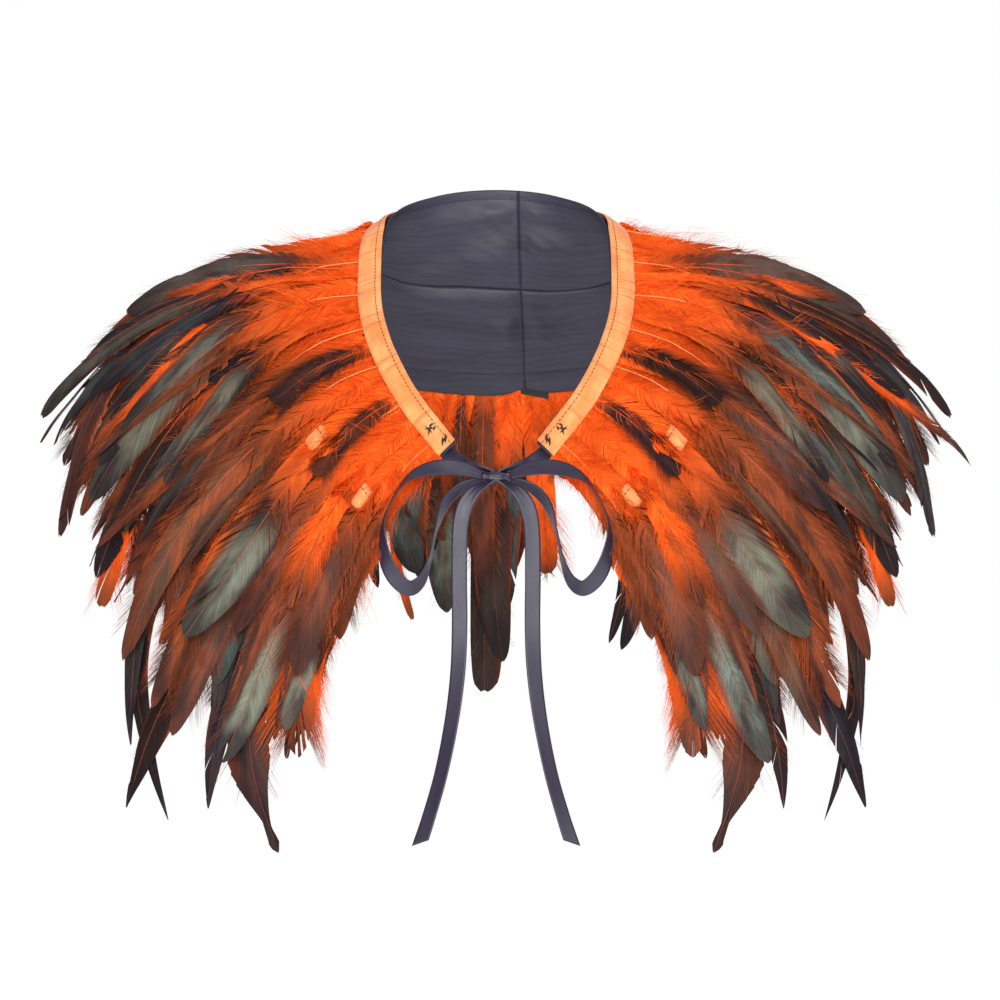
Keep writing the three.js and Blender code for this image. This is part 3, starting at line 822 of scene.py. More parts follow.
# %% [markdown]
# ## Cotton tapes
# Three orange tapes hold the quills. Herringbone cotton tape is matt, and its dye sits unevenly, paler
# where it was handled. The weave is two crossed fine waves, strong in the bump and faint in the colour.
# Fine creases run across it in the bump, and the tape is painted darker in them: that is painted shade.
# The tape's edges are a little wavy, because it was eased round the neck while it was sewn. At the nape
# the neck tape is tucked in under the collar, and in two places on each wing the middle tape stands out
# through the plumes. Each could be a mesh of its own, but they differ only in their place and height
# along s, so one function makes all three.
# %% Mix the tape cotton
def tape_cotton():
    paint = Paint("tape_cotton")
    flat = paint.add("UVMap", {}, uv_map="cloth")
    blotch = paint.cloud(paint.stretched(flat, (38, 90, 1)), 1.0, 4.0)
    creases = paint.cloud(paint.stretched(flat, (260, 24, 1)), 1.0, 2.0)
    warp = paint.wave(flat, 330.0, 0.8, "Y")
    weft = paint.wave(flat, 460.0, 0.8, "X")
    weave = paint.times(warp, weft)
    tone = paint.blend(paint.rise(blotch, 0.3, 0.7), srgb(224, 126, 62), srgb(243, 162, 99))
    # darker along the creases: painted shade in the folds of the tape
    tone = paint.blend(paint.rise(creases, 0.5, 0.72, 0, 0.7), tone, srgb(196, 100, 44))
    colour = paint.blend(paint.times(weave, 0.25), tone, srgb(248, 182, 126))
    height = paint.plus(weave, paint.times(creases, 1.5))
    return paint.finish(colour, 0.86, height, 0.0002, 0.45, Sheen_Weight=0.25, Specular_IOR_Level=0.2)


TAPE_COTTON = tape_cotton()
print("tape material:", TAPE_COTTON.name)

# %% Lay the tapes
TAPE_WIDTH = 16.0
TAPE_LOW = 2.6
TAPE_HIGH = 3.6
TAPE_STITCH_INSET = 4.0
TAPE_ROUNDING = 0.45
TAPE_STEP = 0.0032
TAPE_COLUMNS = 9
EDGE_WAVE = 0.35
EDGE_WAVE_RUN = 0.018
EASE = 0.3
EASE_RUN = 0.011
EASE_ACROSS = 0.8
DIP = 0.3
DIP_RUN = 0.9
NAPE_TUCK = 6.0
NAPE_SINK = 1.9
NAPE_TUCK_FROM = 0.3
NAPE_TUCK_RUN = 0.09
# the s of two places where the tape of the middle row stands out through the down
TAPE_PUFFS = [1.755, 1.918]
PUFF_RUN = 0.023
PUFF_HEIGHT = 9.5
# the v of each row's quills
TAPE_ROWS = {"neck": 8.0, "middle": 76.0, "hem": 136.0}


def nape_tuck(row, s):
    """How far the neck tape is tucked in at s, from 0 to 1: only round the nape."""
    return np.clip((NAPE_TUCK_FROM - np.abs(s - 1)) / NAPE_TUCK_RUN, 0, 1) * (row == "neck")


def tape_sink(row, s):
    """How deep a tape lies at s, in millimetres: in at the nape, out where it shows in the down."""
    puffs = sum(np.exp(-(((np.abs(s - 1) + 1 - place) / PUFF_RUN) ** 4)) for place in TAPE_PUFFS)
    return NAPE_SINK * nape_tuck(row, s) - PUFF_HEIGHT * puffs * (row == "middle")


def cotton_tape(row, root_v):
    """The tape of one row, with eased edges, dipped along its stitches."""
    length = way_round(root_v)
    places = even_places(root_v, THREAD_END_S, 2 - THREAD_END_S, int(length[-1] / TAPE_STEP))
    share = np.linspace(-1, 1, TAPE_COLUMNS)
    s = places[:, None] + 0 * share
    far = np.interp(s, S_LINES, length)
    edge_place = np.stack([far / EDGE_WAVE_RUN, np.sign(share) + 0 * far], axis=-1)
    edge_wave = EDGE_WAVE * clouds(edge_place, root_v)
    v = root_v + (TAPE_WIDTH / 2 + edge_wave * np.abs(share) ** 3) * share
    v = v + NAPE_TUCK * nape_tuck(row, s) * (1 - share) / 2
    ease_place = np.stack([far / EASE_RUN, share * EASE_ACROSS + 0 * far], axis=-1)
    ease = EASE * clouds(ease_place, root_v + 1)
    dip = DIP * np.exp(-(((v - root_v + TAPE_WIDTH / 2 - TAPE_STITCH_INSET) / DIP_RUN) ** 2))
    rounding = TAPE_ROUNDING * np.abs(share) ** 8
    sink = tape_sink(row, s)
    top = on_cape(s, v, TAPE_HIGH + ease - dip - rounding - sink)
    points, faces = closed_sheet(top, on_cape(s, v, TAPE_LOW - sink))
    tape = make_piece(f"tape_{row}", points, faces, [TAPE_COTTON], maps=sheet_maps(far, v * MM))
    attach(tape, "root")
    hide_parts(f"{row}_tape")
    return tape, length[-1]


for row, root_v in TAPE_ROWS.items():
    tape, length = cotton_tape(row, root_v)
    print(tape.name, "is", round(length, 3), "m of tape")

# %% Sew the tapes down
THREAD_SINK = 0.05


def tape_thread(row, root_v):
    """The v and height of a tape's stitches, which go with the tape."""
    v = root_v - TAPE_WIDTH / 2 + TAPE_STITCH_INSET
    tuck = NAPE_TUCK * (1 - TAPE_STITCH_INSET / TAPE_WIDTH)
    return lambda s: (v + tuck * nape_tuck(row, s), TAPE_HIGH - THREAD_SINK - tape_sink(row, s))


RUST_THREAD = thread_paint("rust_thread", srgb(78, 38, 16), srgb(128, 68, 30))
tape_stitches = sew_along("tape_stitches", [
    (root_v, tape_thread(row, root_v), 1) for row, root_v in TAPE_ROWS.items()
], RUST_THREAD, thread=0.62, share=0.84)
print("tape thread:", len(tape_stitches.data.polygons), "faces")

# %% [markdown]
# ## Hand stitches
# The ribbons were sewn on by hand, and the navy thread shows on the tape as two little knots of crossing
# stitches at each front end. A few short threads, laid by their place on the tape, are enough.
# %% Tack the ribbons to the tape
HAND_THREAD = 0.62
HAND_ARCH = 0.5
HAND_LIFT = 0.1
# columns: s and v of a thread's start, then of its end
HAND_STITCHES = np.array([
    [0.083, 5.6, 0.063, 13.0], [0.066, 6.2, 0.083, 12.2], [0.060, 9.6, 0.088, 10.6],
    [0.077, 4.6, 0.081, 8.4], [0.070, 4.8, 0.063, 8.0], [0.035, 2.6, 0.013, 7.2],
    [0.034, 5.6, 0.014, 9.8], [0.027, 2.4, 0.021, 9.4],
])


def tack(side_name):
    """The hand stitches of one front end."""
    rows = HAND_STITCHES.copy()
    if side_name == "left":
        rows[:, [0, 2]] = 2 - rows[:, [0, 2]]
    height = np.full(len(rows), TAPE_HIGH + HAND_LIFT)
    starts = on_cape(rows[:, 0], rows[:, 1], height)
    ends = on_cape(rows[:, 2], rows[:, 3], height)
    outward = unit(read_grid(CAPE_NORMAL, rows[:, 0], rows[:, 1]))
    points, quads = stitch_tubes(starts, ends, outward, HAND_THREAD * MM, HAND_ARCH * MM)
    piece = make_piece(f"hand_stitches_{side_name}", points, quads, [NAVY_THREAD])
    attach(piece, "root")
    return piece


for side_name in SIDES:
    print(tack(side_name).name, "of", len(HAND_STITCHES), "threads")

# %% [markdown]
# ## Feather paint
# These are dyed half-bronze cock feathers. The down at the root takes the orange dye fully. The vane
# above it is naturally dark: brown with rust edges, a grey-green bronze patch along the middle and a
# charcoal tip. The mesh carries, on each point, its place on the feather (along, across and a number for
# the feather), the barb it belongs to and the strength of each marking, and the shader mixes the colours
# from those, with streaks that run along the barbs. So every feather differs, and no picture is needed.
# %% Mix the feather dye
def feather_dye():
    paint = Paint("feather_dye")
    barb = paint.attribute("barb", 2)
    along, across, number = paint.parts(paint.attribute("place"))
    patch, dark, tip = paint.parts(paint.attribute("marks"))
    edge, down_end, fluff = paint.parts(paint.attribute("trim"))
    # streaks follow the barbs, and blots lie anywhere on the feather
    out = paint.math("ABSOLUTE", across)
    streak_place = paint.add("CombineXYZ", {
        0: paint.times(barb, 240.0), 1: paint.times(out, 1.5), 2: paint.times(number, 91.0)})
    streaks = paint.cloud(streak_place, 1.0, 2.0)
    blot_place = paint.add("CombineXYZ", {
        0: paint.times(along, 6.0), 1: paint.times(across, 1.4), 2: paint.times(number, 57.0)})
    blots = paint.cloud(blot_place, 1.0, 3.0)
    uneven = paint.math("SUBTRACT", blots, 0.5)
    ragged = paint.math("SUBTRACT", streaks, 0.5)

    # the vane: brown to charcoal, with a bronze patch, rust edges and a dark tip
    brown = paint.blend(paint.rise(blots, 0.35, 0.65), srgb(74, 36, 22), srgb(146, 68, 32))
    coal = paint.blend(paint.rise(number, 0.3, 0.9), srgb(36, 22, 19), srgb(29, 23, 34))
    darkness = paint.plus(dark, paint.times(uneven, 1.2))
    vane = paint.blend(paint.rise(darkness, 0.2, 0.85), brown, coal)
    bronze = paint.blend(paint.rise(number, 0.2, 0.8), srgb(112, 114, 99), srgb(84, 106, 102))
    bronze = paint.blend(paint.rise(blots, 0.4, 0.7), bronze, srgb(70, 66, 60))
    middle = paint.plus(out, paint.times(uneven, 0.6))
    patch_start = paint.plus(down_end, 0.04)
    patch_full = paint.plus(down_end, 0.24)
    in_patch = paint.times(patch, paint.rise(middle, 0.4, 0.88, 1.0, 0.0))
    in_patch = paint.times(in_patch, paint.rise(along, patch_start, patch_full))
    vane = paint.blend(in_patch, vane, bronze)
    one_side = paint.rise(paint.plus(across, paint.times(uneven, 0.6)), 0.4, 0.95)
    vane = paint.blend(paint.times(one_side, edge), vane, srgb(146, 66, 30))
    rim = paint.rise(paint.plus(out, paint.times(ragged, 0.3)), 0.78, 1.0)
    vane = paint.blend(paint.times(rim, edge), vane, srgb(190, 88, 38))
    at_tip = paint.rise(paint.plus(along, paint.times(uneven, 0.3)), 0.72, 0.92)
    vane = paint.blend(paint.times(at_tip, tip), vane, srgb(30, 21, 25))
    vane = paint.blend(0.7, vane, paint.rise(streaks, 0.3, 0.7, 0.55, 1.35), how="MULTIPLY")

    # the down: orange, browner where the vane begins, with a ragged frontier
    early = paint.math("SUBTRACT", down_end, 0.26)
    low = paint.math("SUBTRACT", down_end, 0.09)
    high = paint.plus(down_end, 0.12)
    orange = paint.blend(paint.rise(streaks, 0.3, 0.7), srgb(230, 60, 8), srgb(250, 114, 34))
    orange = paint.blend(paint.rise(blots, 0.42, 0.72, 0.0, 0.7), orange, srgb(182, 60, 14))
    orange = paint.blend(paint.rise(along, early, high, 0.0, 0.9), orange, srgb(146, 68, 32))
    frontier = paint.plus(along, paint.times(ragged, 0.3))
    frontier = paint.plus(frontier, paint.times(uneven, 0.2))
    downy = paint.math("MAXIMUM", fluff, paint.rise(frontier, low, high, 1.0, 0.0))
    colour = paint.blend(downy, vane, orange)
    gloss = paint.plus(paint.rise(downy, 0.0, 1.0, 0.46, 0.8), paint.times(ragged, 0.15))
    return paint.finish(colour, gloss, streaks, 0.0002, 0.25, Specular_IOR_Level=0.1)


FEATHER_DYE = feather_dye()
print("feather material:", FEATHER_DYE.name)


# %% Mix the quill horn
def quill_horn():
    paint = Paint("quill_horn")
    place = paint.attribute("place")
    along, _, number = paint.parts(place)
    bare = paint.parts(paint.attribute("trim"))[2]
    mottle = paint.cloud(paint.stretched(place, (30, 5, 40)), 1.0, 2.0)
    pale = paint.blend(mottle, srgb(244, 126, 64), srgb(252, 156, 100))
    root = paint.blend(bare, srgb(236, 84, 16), pale)
    brown = paint.blend(number, srgb(150, 70, 32), srgb(70, 42, 34))
    colour = paint.blend(paint.rise(along, 0.34, 0.6), root, brown)
    return paint.finish(colour, 0.4, mottle, 0.0001, 0.2, Specular_IOR_Level=0.3)


QUILL_HORN = quill_horn()
print("quill material:", QUILL_HORN.name)

# %% [markdown]
# ## One feather
# A feather is a quill with barbs. In the vane the barbs lie side by side, hooked together in clumps,
# with a split here and there. Near the root they are loose down that stands out all round, and a fuzzy
# feather has free barbs over its edge too. One barb could be a curve object, but thousands of them would
# be slow, so a few barbs together are a narrow strip of three faces that meets its neighbours edge to
# edge, a strand of down is a strip of two faces, and a free barb is one face. All are placed at once
# with arrays, along a spine that carries its own directions.
# %% Lay a spine
SPINE_STEPS = 33
SPINE_T = np.linspace(0, 1, SPINE_STEPS)


def spine_frame(points, normals, roll, room):
    """A table of points, forward, side and face directions, and the room in mm above the lining."""
    forward = unit(np.gradient(points, axis=0))
    side = unit(np.cross(forward, normals))
    face = np.cross(side, forward)
    turn = np.broadcast_to(roll, SPINE_T.shape)[:, None]
    turned_side = side * np.cos(turn) + face * np.sin(turn)
    turned_face = face * np.cos(turn) - side * np.sin(turn)
    return np.column_stack([points, forward, turned_side, turned_face, room * MM])


def read_spine(spine, t):
    """Point, forward, side, face and room at places t along a spine."""
    read = np.stack([np.interp(t, SPINE_T, column) for column in spine.T], axis=-1)
    return read[..., 0:3], read[..., 3:6], read[..., 6:9], read[..., 9:12], read[..., 12]


print("spines of", SPINE_STEPS, "points")

# %% [markdown]
# ## Parted plumes
# On each wing two scraps of the middle tape show between the plumes of the neck row. The plumes could be
# cut there, but cut strips look torn, and real ones just lie aside. So the points that cover such a
# place in the picture are moved straight back, to just under the tape.
# %% Part the plumes over the tape
# columns: s of a parted place, then its half length and half width in pixels
PARTED = np.array([[TAPE_PUFFS[0], 21.0, 17.0], [TAPE_PUFFS[1], 22.0, 18.0]])
PARTED_V = TAPE_ROWS["middle"]
PARTED_DEPTH = 2.0
PARTED_HEIGHT = TAPE_HIGH + PUFF_HEIGHT
PARTED_STEP = 0.01


def tuck_under(points):
    """Points, with those that lie over a parted place moved straight back to just under the tape."""
    seen = to_picture(points)
    back = np.zeros(points.shape[:-1])
    for s, half_length, half_width in np.vstack([PARTED, PARTED * [-1, 1, 1] + [2, 0, 0]]):
        level = np.full(2, PARTED_V)
        ends = on_cape(np.array([s - PARTED_STEP, s + PARTED_STEP]), level, np.full(2, PARTED_HEIGHT))
        marks = to_picture(ends)
        along = unit(marks[1] - marks[0])
        from_middle = seen - marks.mean(axis=0)
        far = np.abs(from_middle @ along)
        aside = np.abs(from_middle @ np.array([-along[1], along[0]]))
        outward = unit(read_grid(CAPE_NORMAL, s, PARTED_V))
        above = (points - ends.mean(axis=0)) @ outward + PARTED_DEPTH * MM
        inside = (far < half_length) & (aside < half_width)
        back += np.where(inside, np.clip(above, 0, None) / -outward[1], 0)
    return points - back[..., None] * TOWARDS_VIEWER


print("plumes parted at", 2 * len(PARTED), "places")

# %% [markdown]
# ## Outline and vane
# Most feathers have an outline between a round and a sharp one, and some that stand out have their own:
# blunt, curved to a point, pinched before the tip, or a tuft at the end of a bare quill. A flat card with
# painted barbs would be light, but its edge is too clean, so the vane is zipped together from strips. At
# the root it is a flat orange backing under the down, which closes the gaps between the quills. Above it
# each clump of barbs gets its own lean, trim and lift, so that splits open between the clumps.
# %% Draw the outlines
OUTLINE_T = [0.0, 0.12, 0.25, 0.42, 0.6, 0.75, 0.86, 0.94, 0.98, 1.0]
FINE_T = np.linspace(0, 1, 81)
ROUND_OUTLINE = np.array([0.5, 0.7, 0.85, 0.96, 1.0, 0.95, 0.8, 0.56, 0.33, 0.04])
SHARP_OUTLINE = np.array([0.5, 0.72, 0.9, 1.0, 0.92, 0.72, 0.48, 0.25, 0.12, 0.02])
BLUNT_OUTLINE = [0.3, 0.6, 0.85, 1.0, 1.0, 0.98, 0.93, 0.82, 0.62, 0.2]
OWN_OUTLINES = {
    "blunt": BLUNT_OUTLINE,
    "sable": BLUNT_OUTLINE,
    "ember": BLUNT_OUTLINE,
    "tuft": [0.02, 0.02, 0.02, 0.02, 0.1, 0.75, 1.0, 0.85, 0.55, 0.05],
    "sickle": [0.5, 0.72, 0.9, 1.0, 0.96, 0.8, 0.54, 0.28, 0.12, 0.02],
    "pinched": [0.3, 0.6, 0.85, 1.0, 1.0, 0.9, 0.42, 0.1, 0.2, 0.02],
}


def outline_of(look):
    """The share of the full width at FINE_T: a feather's own, or one between round and sharp."""
    between = ROUND_OUTLINE + (SHARP_OUTLINE - ROUND_OUTLINE) * look["point"]
    shape = OWN_OUTLINES.get(look["name"], between)
    return np.clip(smooth_through(np.column_stack([OUTLINE_T, shape]), FINE_T)[:, 0], 0.02, 1.05)


print("own outlines:", list(OWN_OUTLINES))

# %% Zip the vane from strips of barbs
BARBS = 40
VANE_FROM = 0.008
VANE_TO = 0.994
TIP_CROWDING = 1.35
BARB_Q = np.array([0.0, 0.4, 0.76, 1.0])
BARB_SWEEP = 1.2
BARB_ANGLES_T = [0.0, 0.12, 0.5, 0.8, 1.0]
BARB_ANGLES = np.radians([66, 46, 36, 28, 20])
BACKING_T = [0.0, 0.1, 0.2]
BACKING_WIDTH = [1.02, 0.85, 0.62]
FLAT_ROOT = 0.15
FUZZY_LOSS = 0.38
LOOSE_RUN = 0.07
LOOSE_TO = 0.9
LOOSE_FADE = 0.25
LOOSE_LEAN = 0.15
LOOSE_CURL = 1.2
LOOSE_REACH = 0.15
LOOSE_THINNING = 0.05 + 0.4 * BARB_Q
SPLIT_CHANCE = 0.05
LOPSIDED = 0.2
CLUMP_LEAN = 0.05
CLUMP_TRIM = 0.03
CLUMP_LIFT = 0.5
CAMBER = 0.22
RIPPLE = 0.35 * MM
RIPPLES = 34


def strip_quads(count, rows, flip):
    """Faces of strips that are stored one after another, each as rows of two points."""
    one = grid_quads(rows, 2, flip=flip)
    return (one[None] + (np.arange(count) * rows * 2)[:, None, None]).reshape(-1, 4)


def vane_strips(spine, length, width, look, parted, rng):
    """Both sides of the vane: points, faces and each point's place (along, across, barb)."""
    points, quads, places, count = [], [], [], 0
    crowding = 1 - (1 - np.linspace(0, 1, BARBS + 1)) ** TIP_CROWDING
    edges = VANE_FROM + (VANE_TO - VANE_FROM) * crowding
    root = np.stack([edges[:-1], edges[1:]], axis=-1)
    outline = outline_of(look)
    from_down = (root.mean(axis=1, keepdims=True) - look["down"]) / LOOSE_RUN
    whole = look["name"] == "pinched"
    looseness = 0 if whole else np.clip((LOOSE_TO - look["down"]) / LOOSE_FADE, 0, 1)
    loose = np.exp(-(from_down**2)) * looseness
    full = 1 - FUZZY_LOSS * look["fuzz"]
    backing = np.interp(root.mean(axis=1, keepdims=True), BACKING_T, BACKING_WIDTH)
    closing = backing + (full - backing) * np.clip(0.5 + from_down / 2, 0, 1)
    lopsided = rng.uniform(-LOPSIDED, LOPSIDED)
    phase = rng.uniform(0, 6)
    for side in (-1, 1):
        clump = np.cumsum(rng.random(BARBS) < (0 if whole else SPLIT_CHANCE))
        clump = clump - clump[0]
        lean = rng.normal(0, CLUMP_LEAN, BARBS)[clump][:, None]
        trim = 1 - np.abs(rng.normal(0, CLUMP_TRIM, BARBS))[clump][:, None]
        lift = rng.normal(0, CLUMP_LIFT, BARBS)[clump][:, None] * MM
        stray = loose * rng.normal(0, LOOSE_LEAN, (BARBS, 1))
        angle = np.interp(root, BARB_ANGLES_T, BARB_ANGLES) + lean + stray
        half = width / 2 * (1 + side * lopsided)
        end = np.minimum(root + half * np.interp(root, FINE_T, outline) / np.tan(angle) / length, 1.0)
        reach = half * np.interp(end, FINE_T, outline) * trim * closing * (1 + LOOSE_REACH * loose)
        along = root[..., None] + (end - root)[..., None] * BARB_Q**BARB_SWEEP
        centre = along.mean(axis=1, keepdims=True)
        along = centre + (along - centre) * (1 - loose[..., None] * LOOSE_THINNING)
        across = side * reach[..., None] * BARB_Q
        curl = (lift + loose * rng.normal(0, LOOSE_CURL, (BARBS, 1)) * MM)[..., None] * BARB_Q**2
        ripple = RIPPLE * np.sin(along * RIPPLES + phase) * BARB_Q
        raised = curl + ripple - CAMBER * across**2 / (width / 2) * np.clip(along / FLAT_ROOT, 0, 1)
        t, w, h = [np.swapaxes(values, 1, 2) for values in (along, across, raised)]
        barb = np.broadcast_to(root[:, None, :], t.shape)
        base, _, sideways, face, _ = read_spine(spine, np.clip(t, 0, 1))
        strips = (base + sideways * w[..., None] + face * h[..., None]).reshape(BARBS, -1, 3)
        strips = tuck_under(strips) if parted else strips
        points.append(strips.reshape(-1, 3))
        quads.append(strip_quads(BARBS, len(BARB_Q), flip=side > 0) + count)
        places.append(np.stack([t, w / (width / 2), barb], axis=-1).reshape(-1, 3))
        count += len(points[-1])
    return np.vstack(points), np.vstack(quads), np.vstack(places)


print("vane of", 2 * BARBS, "strips")

# %% [markdown]
# ## Free barbs, down and quill
# The soft look comes from single strands. Free barbs start on the vane and end a little past its edge.
# Down grows in small locks round the lower quill, stands highest a short way from the tape, and is kept
# off the lining by the room that the spine carries. Hair particles would give the same look, but they
# are lost in an export, so each strand is a real strip. The quill is a thin tube, and in the neck row
# one quill in four rises bare out of the down.
# %% Let free barbs stand over the edge
FULL_FRINGE = 560
FRINGE_Q = np.array([0.4, 1.0])
FRINGE_BREADTH = np.array([0.11, 0.03]) * MM
FRINGE_LATEST = 0.6
FRINGE_TO = 0.86
FRINGE_LEAN = 0.13
FRINGE_ANGLES = (0.5, 1.2)
FRINGE_BEND = 1 + 0.15 * FRINGE_Q
FRINGE_HEIGHT = 0.4 * MM
FRINGE_REACH = (0.7, 1.25)
FRINGE_LIFT = (0.6, 0.9)
AHEAD = 0.05


def as_strips(middle, edge, breadth, place, parted):
    """Strands as narrow strips of faces, which dip under the tape at a parted place."""
    half = edge[:, None] * breadth[:, None]
    points = np.stack([middle - half, middle + half], axis=2).reshape(-1, 3)
    places = np.repeat(place[:, :, None], 2, axis=2).reshape(-1, 3)
    quads = strip_quads(len(middle), len(breadth), flip=False)
    return tuck_under(points) if parted else points, quads, places


def edge_fringe(spine, width, look, parted, rng):
    """Free barbs that lie on the vane and stand over its edge, most of them on a fuzzy feather."""
    strands = int(FULL_FRINGE * look["fuzz"])
    start = min(look["down"], FRINGE_LATEST) - AHEAD
    root = start + (FRINGE_TO - start) * rng.random(strands)
    side = rng.choice([-1.0, 1.0], strands)
    lean = np.interp(root, BARB_ANGLES_T, BARB_ANGLES) + rng.normal(0, FRINGE_LEAN, strands)
    lean = np.clip(lean, *FRINGE_ANGLES)
    wide = width / 2 * np.interp(root + AHEAD, FINE_T, outline_of(look))
    wide = wide * rng.uniform(*FRINGE_REACH, strands)
    base, forward, sideways, face, _ = read_spine(spine, root)
    across = (side * wide)[:, None] * FRINGE_Q
    ahead = (wide / np.tan(lean))[:, None] * FRINGE_Q * FRINGE_BEND
    over = FRINGE_HEIGHT - CAMBER * across**2 / (width / 2)
    over = over + rng.normal(*FRINGE_LIFT, strands)[:, None] * FRINGE_Q**2 * MM
    middle = (base[:, None] + sideways[:, None] * across[..., None] + forward[:, None] * ahead[..., None]
              + face[:, None] * over[..., None])
    edge = unit(np.cross(middle[:, -1] - middle[:, 0], face))
    barb = rng.random(strands)[:, None] + 0 * FRINGE_Q
    place = np.stack([root[:, None] + AHEAD * FRINGE_Q, across / (width / 2), barb], axis=-1)
    return as_strips(middle, edge, FRINGE_BREADTH, place, parted)


print("up to", FULL_FRINGE, "free barbs on a feather")

# %% Fluff the down
LOCK_SIZE = 7
LOCK_LEAN = (6, 28, 74)
LOCK_REACH = (0.75, 1.55)
LOCK_WAVE = 0.15
LOCK_DROOP = 0.5
LOCK_TURN = 0.3
STRAND_LEAN = 6
LEAN_LIMITS = (3, 85)
STRAND_REACH = (0.7, 1.1)
STRAND_WAVE = 0.06
STRAND_ASIDE = 0.07
DOWN_PAST = 0.08
DOWN_SCATTER = 0.012
LAST_ROOT = 0.97
MOST_SINK = 0.8
DOWN_Q = np.array([0.0, 0.5, 1.0])
DOWN_BREADTH = np.array([0.13, 0.12, 0.03]) * MM
DOWN_CLEARANCE = 2.0 * MM
DOWN_REACH_T = [0.0, 0.04, 0.14, 0.35, 0.6, 0.9]
DOWN_REACH = [0.7, 1.0, 1.2, 1.05, 0.9, 0.6]
DOWN_LIFT_T = [0.0, 0.03, 0.1, 0.24, 0.4]
DOWN_LIFT = np.radians([6, 18, 36, 30, 14])
# a strand's orange fades out where it grows past the end of the down
FLUFF_PAST = 0.06
FLUFF_RUN = 0.12


def down_strands(spine, width, down_end, strands, parted, rng):
    """Loose down round the lower quill, in little locks, low under the tape and kept off the lining."""
    locks = max(strands // LOCK_SIZE, 1)
    lock = np.arange(strands) % locks
    root = ((down_end + DOWN_PAST) * rng.random(locks))[lock] + rng.normal(0, DOWN_SCATTER, strands)
    root = np.clip(root, 0, LAST_ROOT)
    side = rng.choice([-1.0, 1.0], locks)[lock]
    lean = rng.triangular(*LOCK_LEAN, locks)[lock] + rng.normal(0, STRAND_LEAN, strands)
    lean = np.radians(np.clip(lean, *LEAN_LIMITS))
    reach = width / 2 * rng.uniform(*LOCK_REACH, locks)[lock] * rng.uniform(*STRAND_REACH, strands)
    reach = reach * np.interp(root, DOWN_REACH_T, DOWN_REACH)
    base, forward, sideways, face, room = read_spine(spine, root)
    deepest = -np.arcsin(np.clip((room - DOWN_CLEARANCE) / (reach * np.sin(lean)), 0, MOST_SINK))
    tilt = deepest + (np.interp(root, DOWN_LIFT_T, DOWN_LIFT) - deepest) * rng.random(locks)[lock]
    out = sideways * (side * np.cos(tilt))[:, None] + face * np.sin(tilt)[:, None]
    direction = forward * np.cos(lean)[:, None] + out * np.sin(lean)[:, None]
    edge = unit(np.cross(direction, face + rng.normal(0, LOCK_TURN, (locks, 3))[lock]))
    wave = rng.normal(0, LOCK_WAVE, locks)[lock] + rng.normal(0, STRAND_WAVE, strands)
    wave = wave[:, None] * np.sin(DOWN_Q * math.pi)
    droop = rng.uniform(0.0, LOCK_DROOP, locks)[lock][:, None] * DOWN_Q**2
    aside = sideways * (rng.normal(0, STRAND_ASIDE, strands) * reach)[:, None]
    middle = (base + aside)[:, None] + reach[:, None, None] * (
        direction[:, None] * DOWN_Q[:, None] + forward[:, None] * droop[..., None]
        + edge[:, None] * wave[..., None])
    above = np.einsum("sqk,sk->sq", middle - base[:, None], face) + (room - DOWN_CLEARANCE)[:, None]
    middle = middle + face[:, None] * np.clip(-above, 0, None)[..., None]
    across = (side * reach / (width / 2))[:, None] * DOWN_Q
    barb = rng.random(strands)[:, None] + 0 * DOWN_Q
    place = np.stack([root[:, None] + AHEAD * DOWN_Q, across, barb], axis=-1)
    fluff = np.clip((down_end + FLUFF_PAST - root) / FLUFF_RUN, 0, 1)
    return as_strips(middle, edge, DOWN_BREADTH, place, parted), np.repeat(fluff, 2 * len(DOWN_Q))


print("down in locks of", LOCK_SIZE, "strands")

# %% Draw the quill
QUILL_RINGS = 13
QUILL_SIDES = 4
QUILL_T = [0.0, 0.1, 0.3, 0.6, 1.0]
QUILL_RADIUS = np.array([0.5, 0.46, 0.36, 0.28, 0.1]) * MM
ROOT_CROWDING = 1.3
QUILL_PROUD = 0.3
COVERED_T = [0, 0.3, 0.6]
COVERED_SHARE = [0.45, 0.6, 1]
BARE_T = [0.0, 0.05, 0.1, 0.16, 0.22, 0.34]
BARE_RISE = np.array([0.3, 1.8, 3.6, 5.2, 4.6, 0.0]) * MM
# where a quill lies across its feather's cell of the bake map, beside the vane
QUILL_ACROSS = 1.85
QUILL_ACROSS_STEP = 0.03


def quill_tube(spine, bare):
    """The quill, a thin tapered tube on the vane. A bare one is thicker and rises out of the down."""
    t = np.linspace(0, 1, QUILL_RINGS) ** ROOT_CROWDING
    angle = np.linspace(0, 2 * math.pi, QUILL_SIDES, endpoint=False)
    base, _, sideways, face, _ = read_spine(spine, t)
    share = 1 if bare else np.interp(t, COVERED_T, COVERED_SHARE)
    radius = np.interp(t, QUILL_T, QUILL_RADIUS) * share
    over = bare * np.interp(t, BARE_T, BARE_RISE)
    upward = face[:, None] * (np.sin(angle) + QUILL_PROUD)[:, None]
    ring = sideways[:, None] * np.cos(angle)[:, None] + upward
    points = (base + face * over[:, None])[:, None] + ring * radius[:, None, None]
    across = np.tile(QUILL_ACROSS + QUILL_ACROSS_STEP * angle, QUILL_RINGS)
    place = np.column_stack([np.repeat(t, QUILL_SIDES), across, 0 * across])
    return points.reshape(-1, 3), tube_quads(QUILL_RINGS, QUILL_SIDES), place


print("quill of", QUILL_RINGS, "rings")

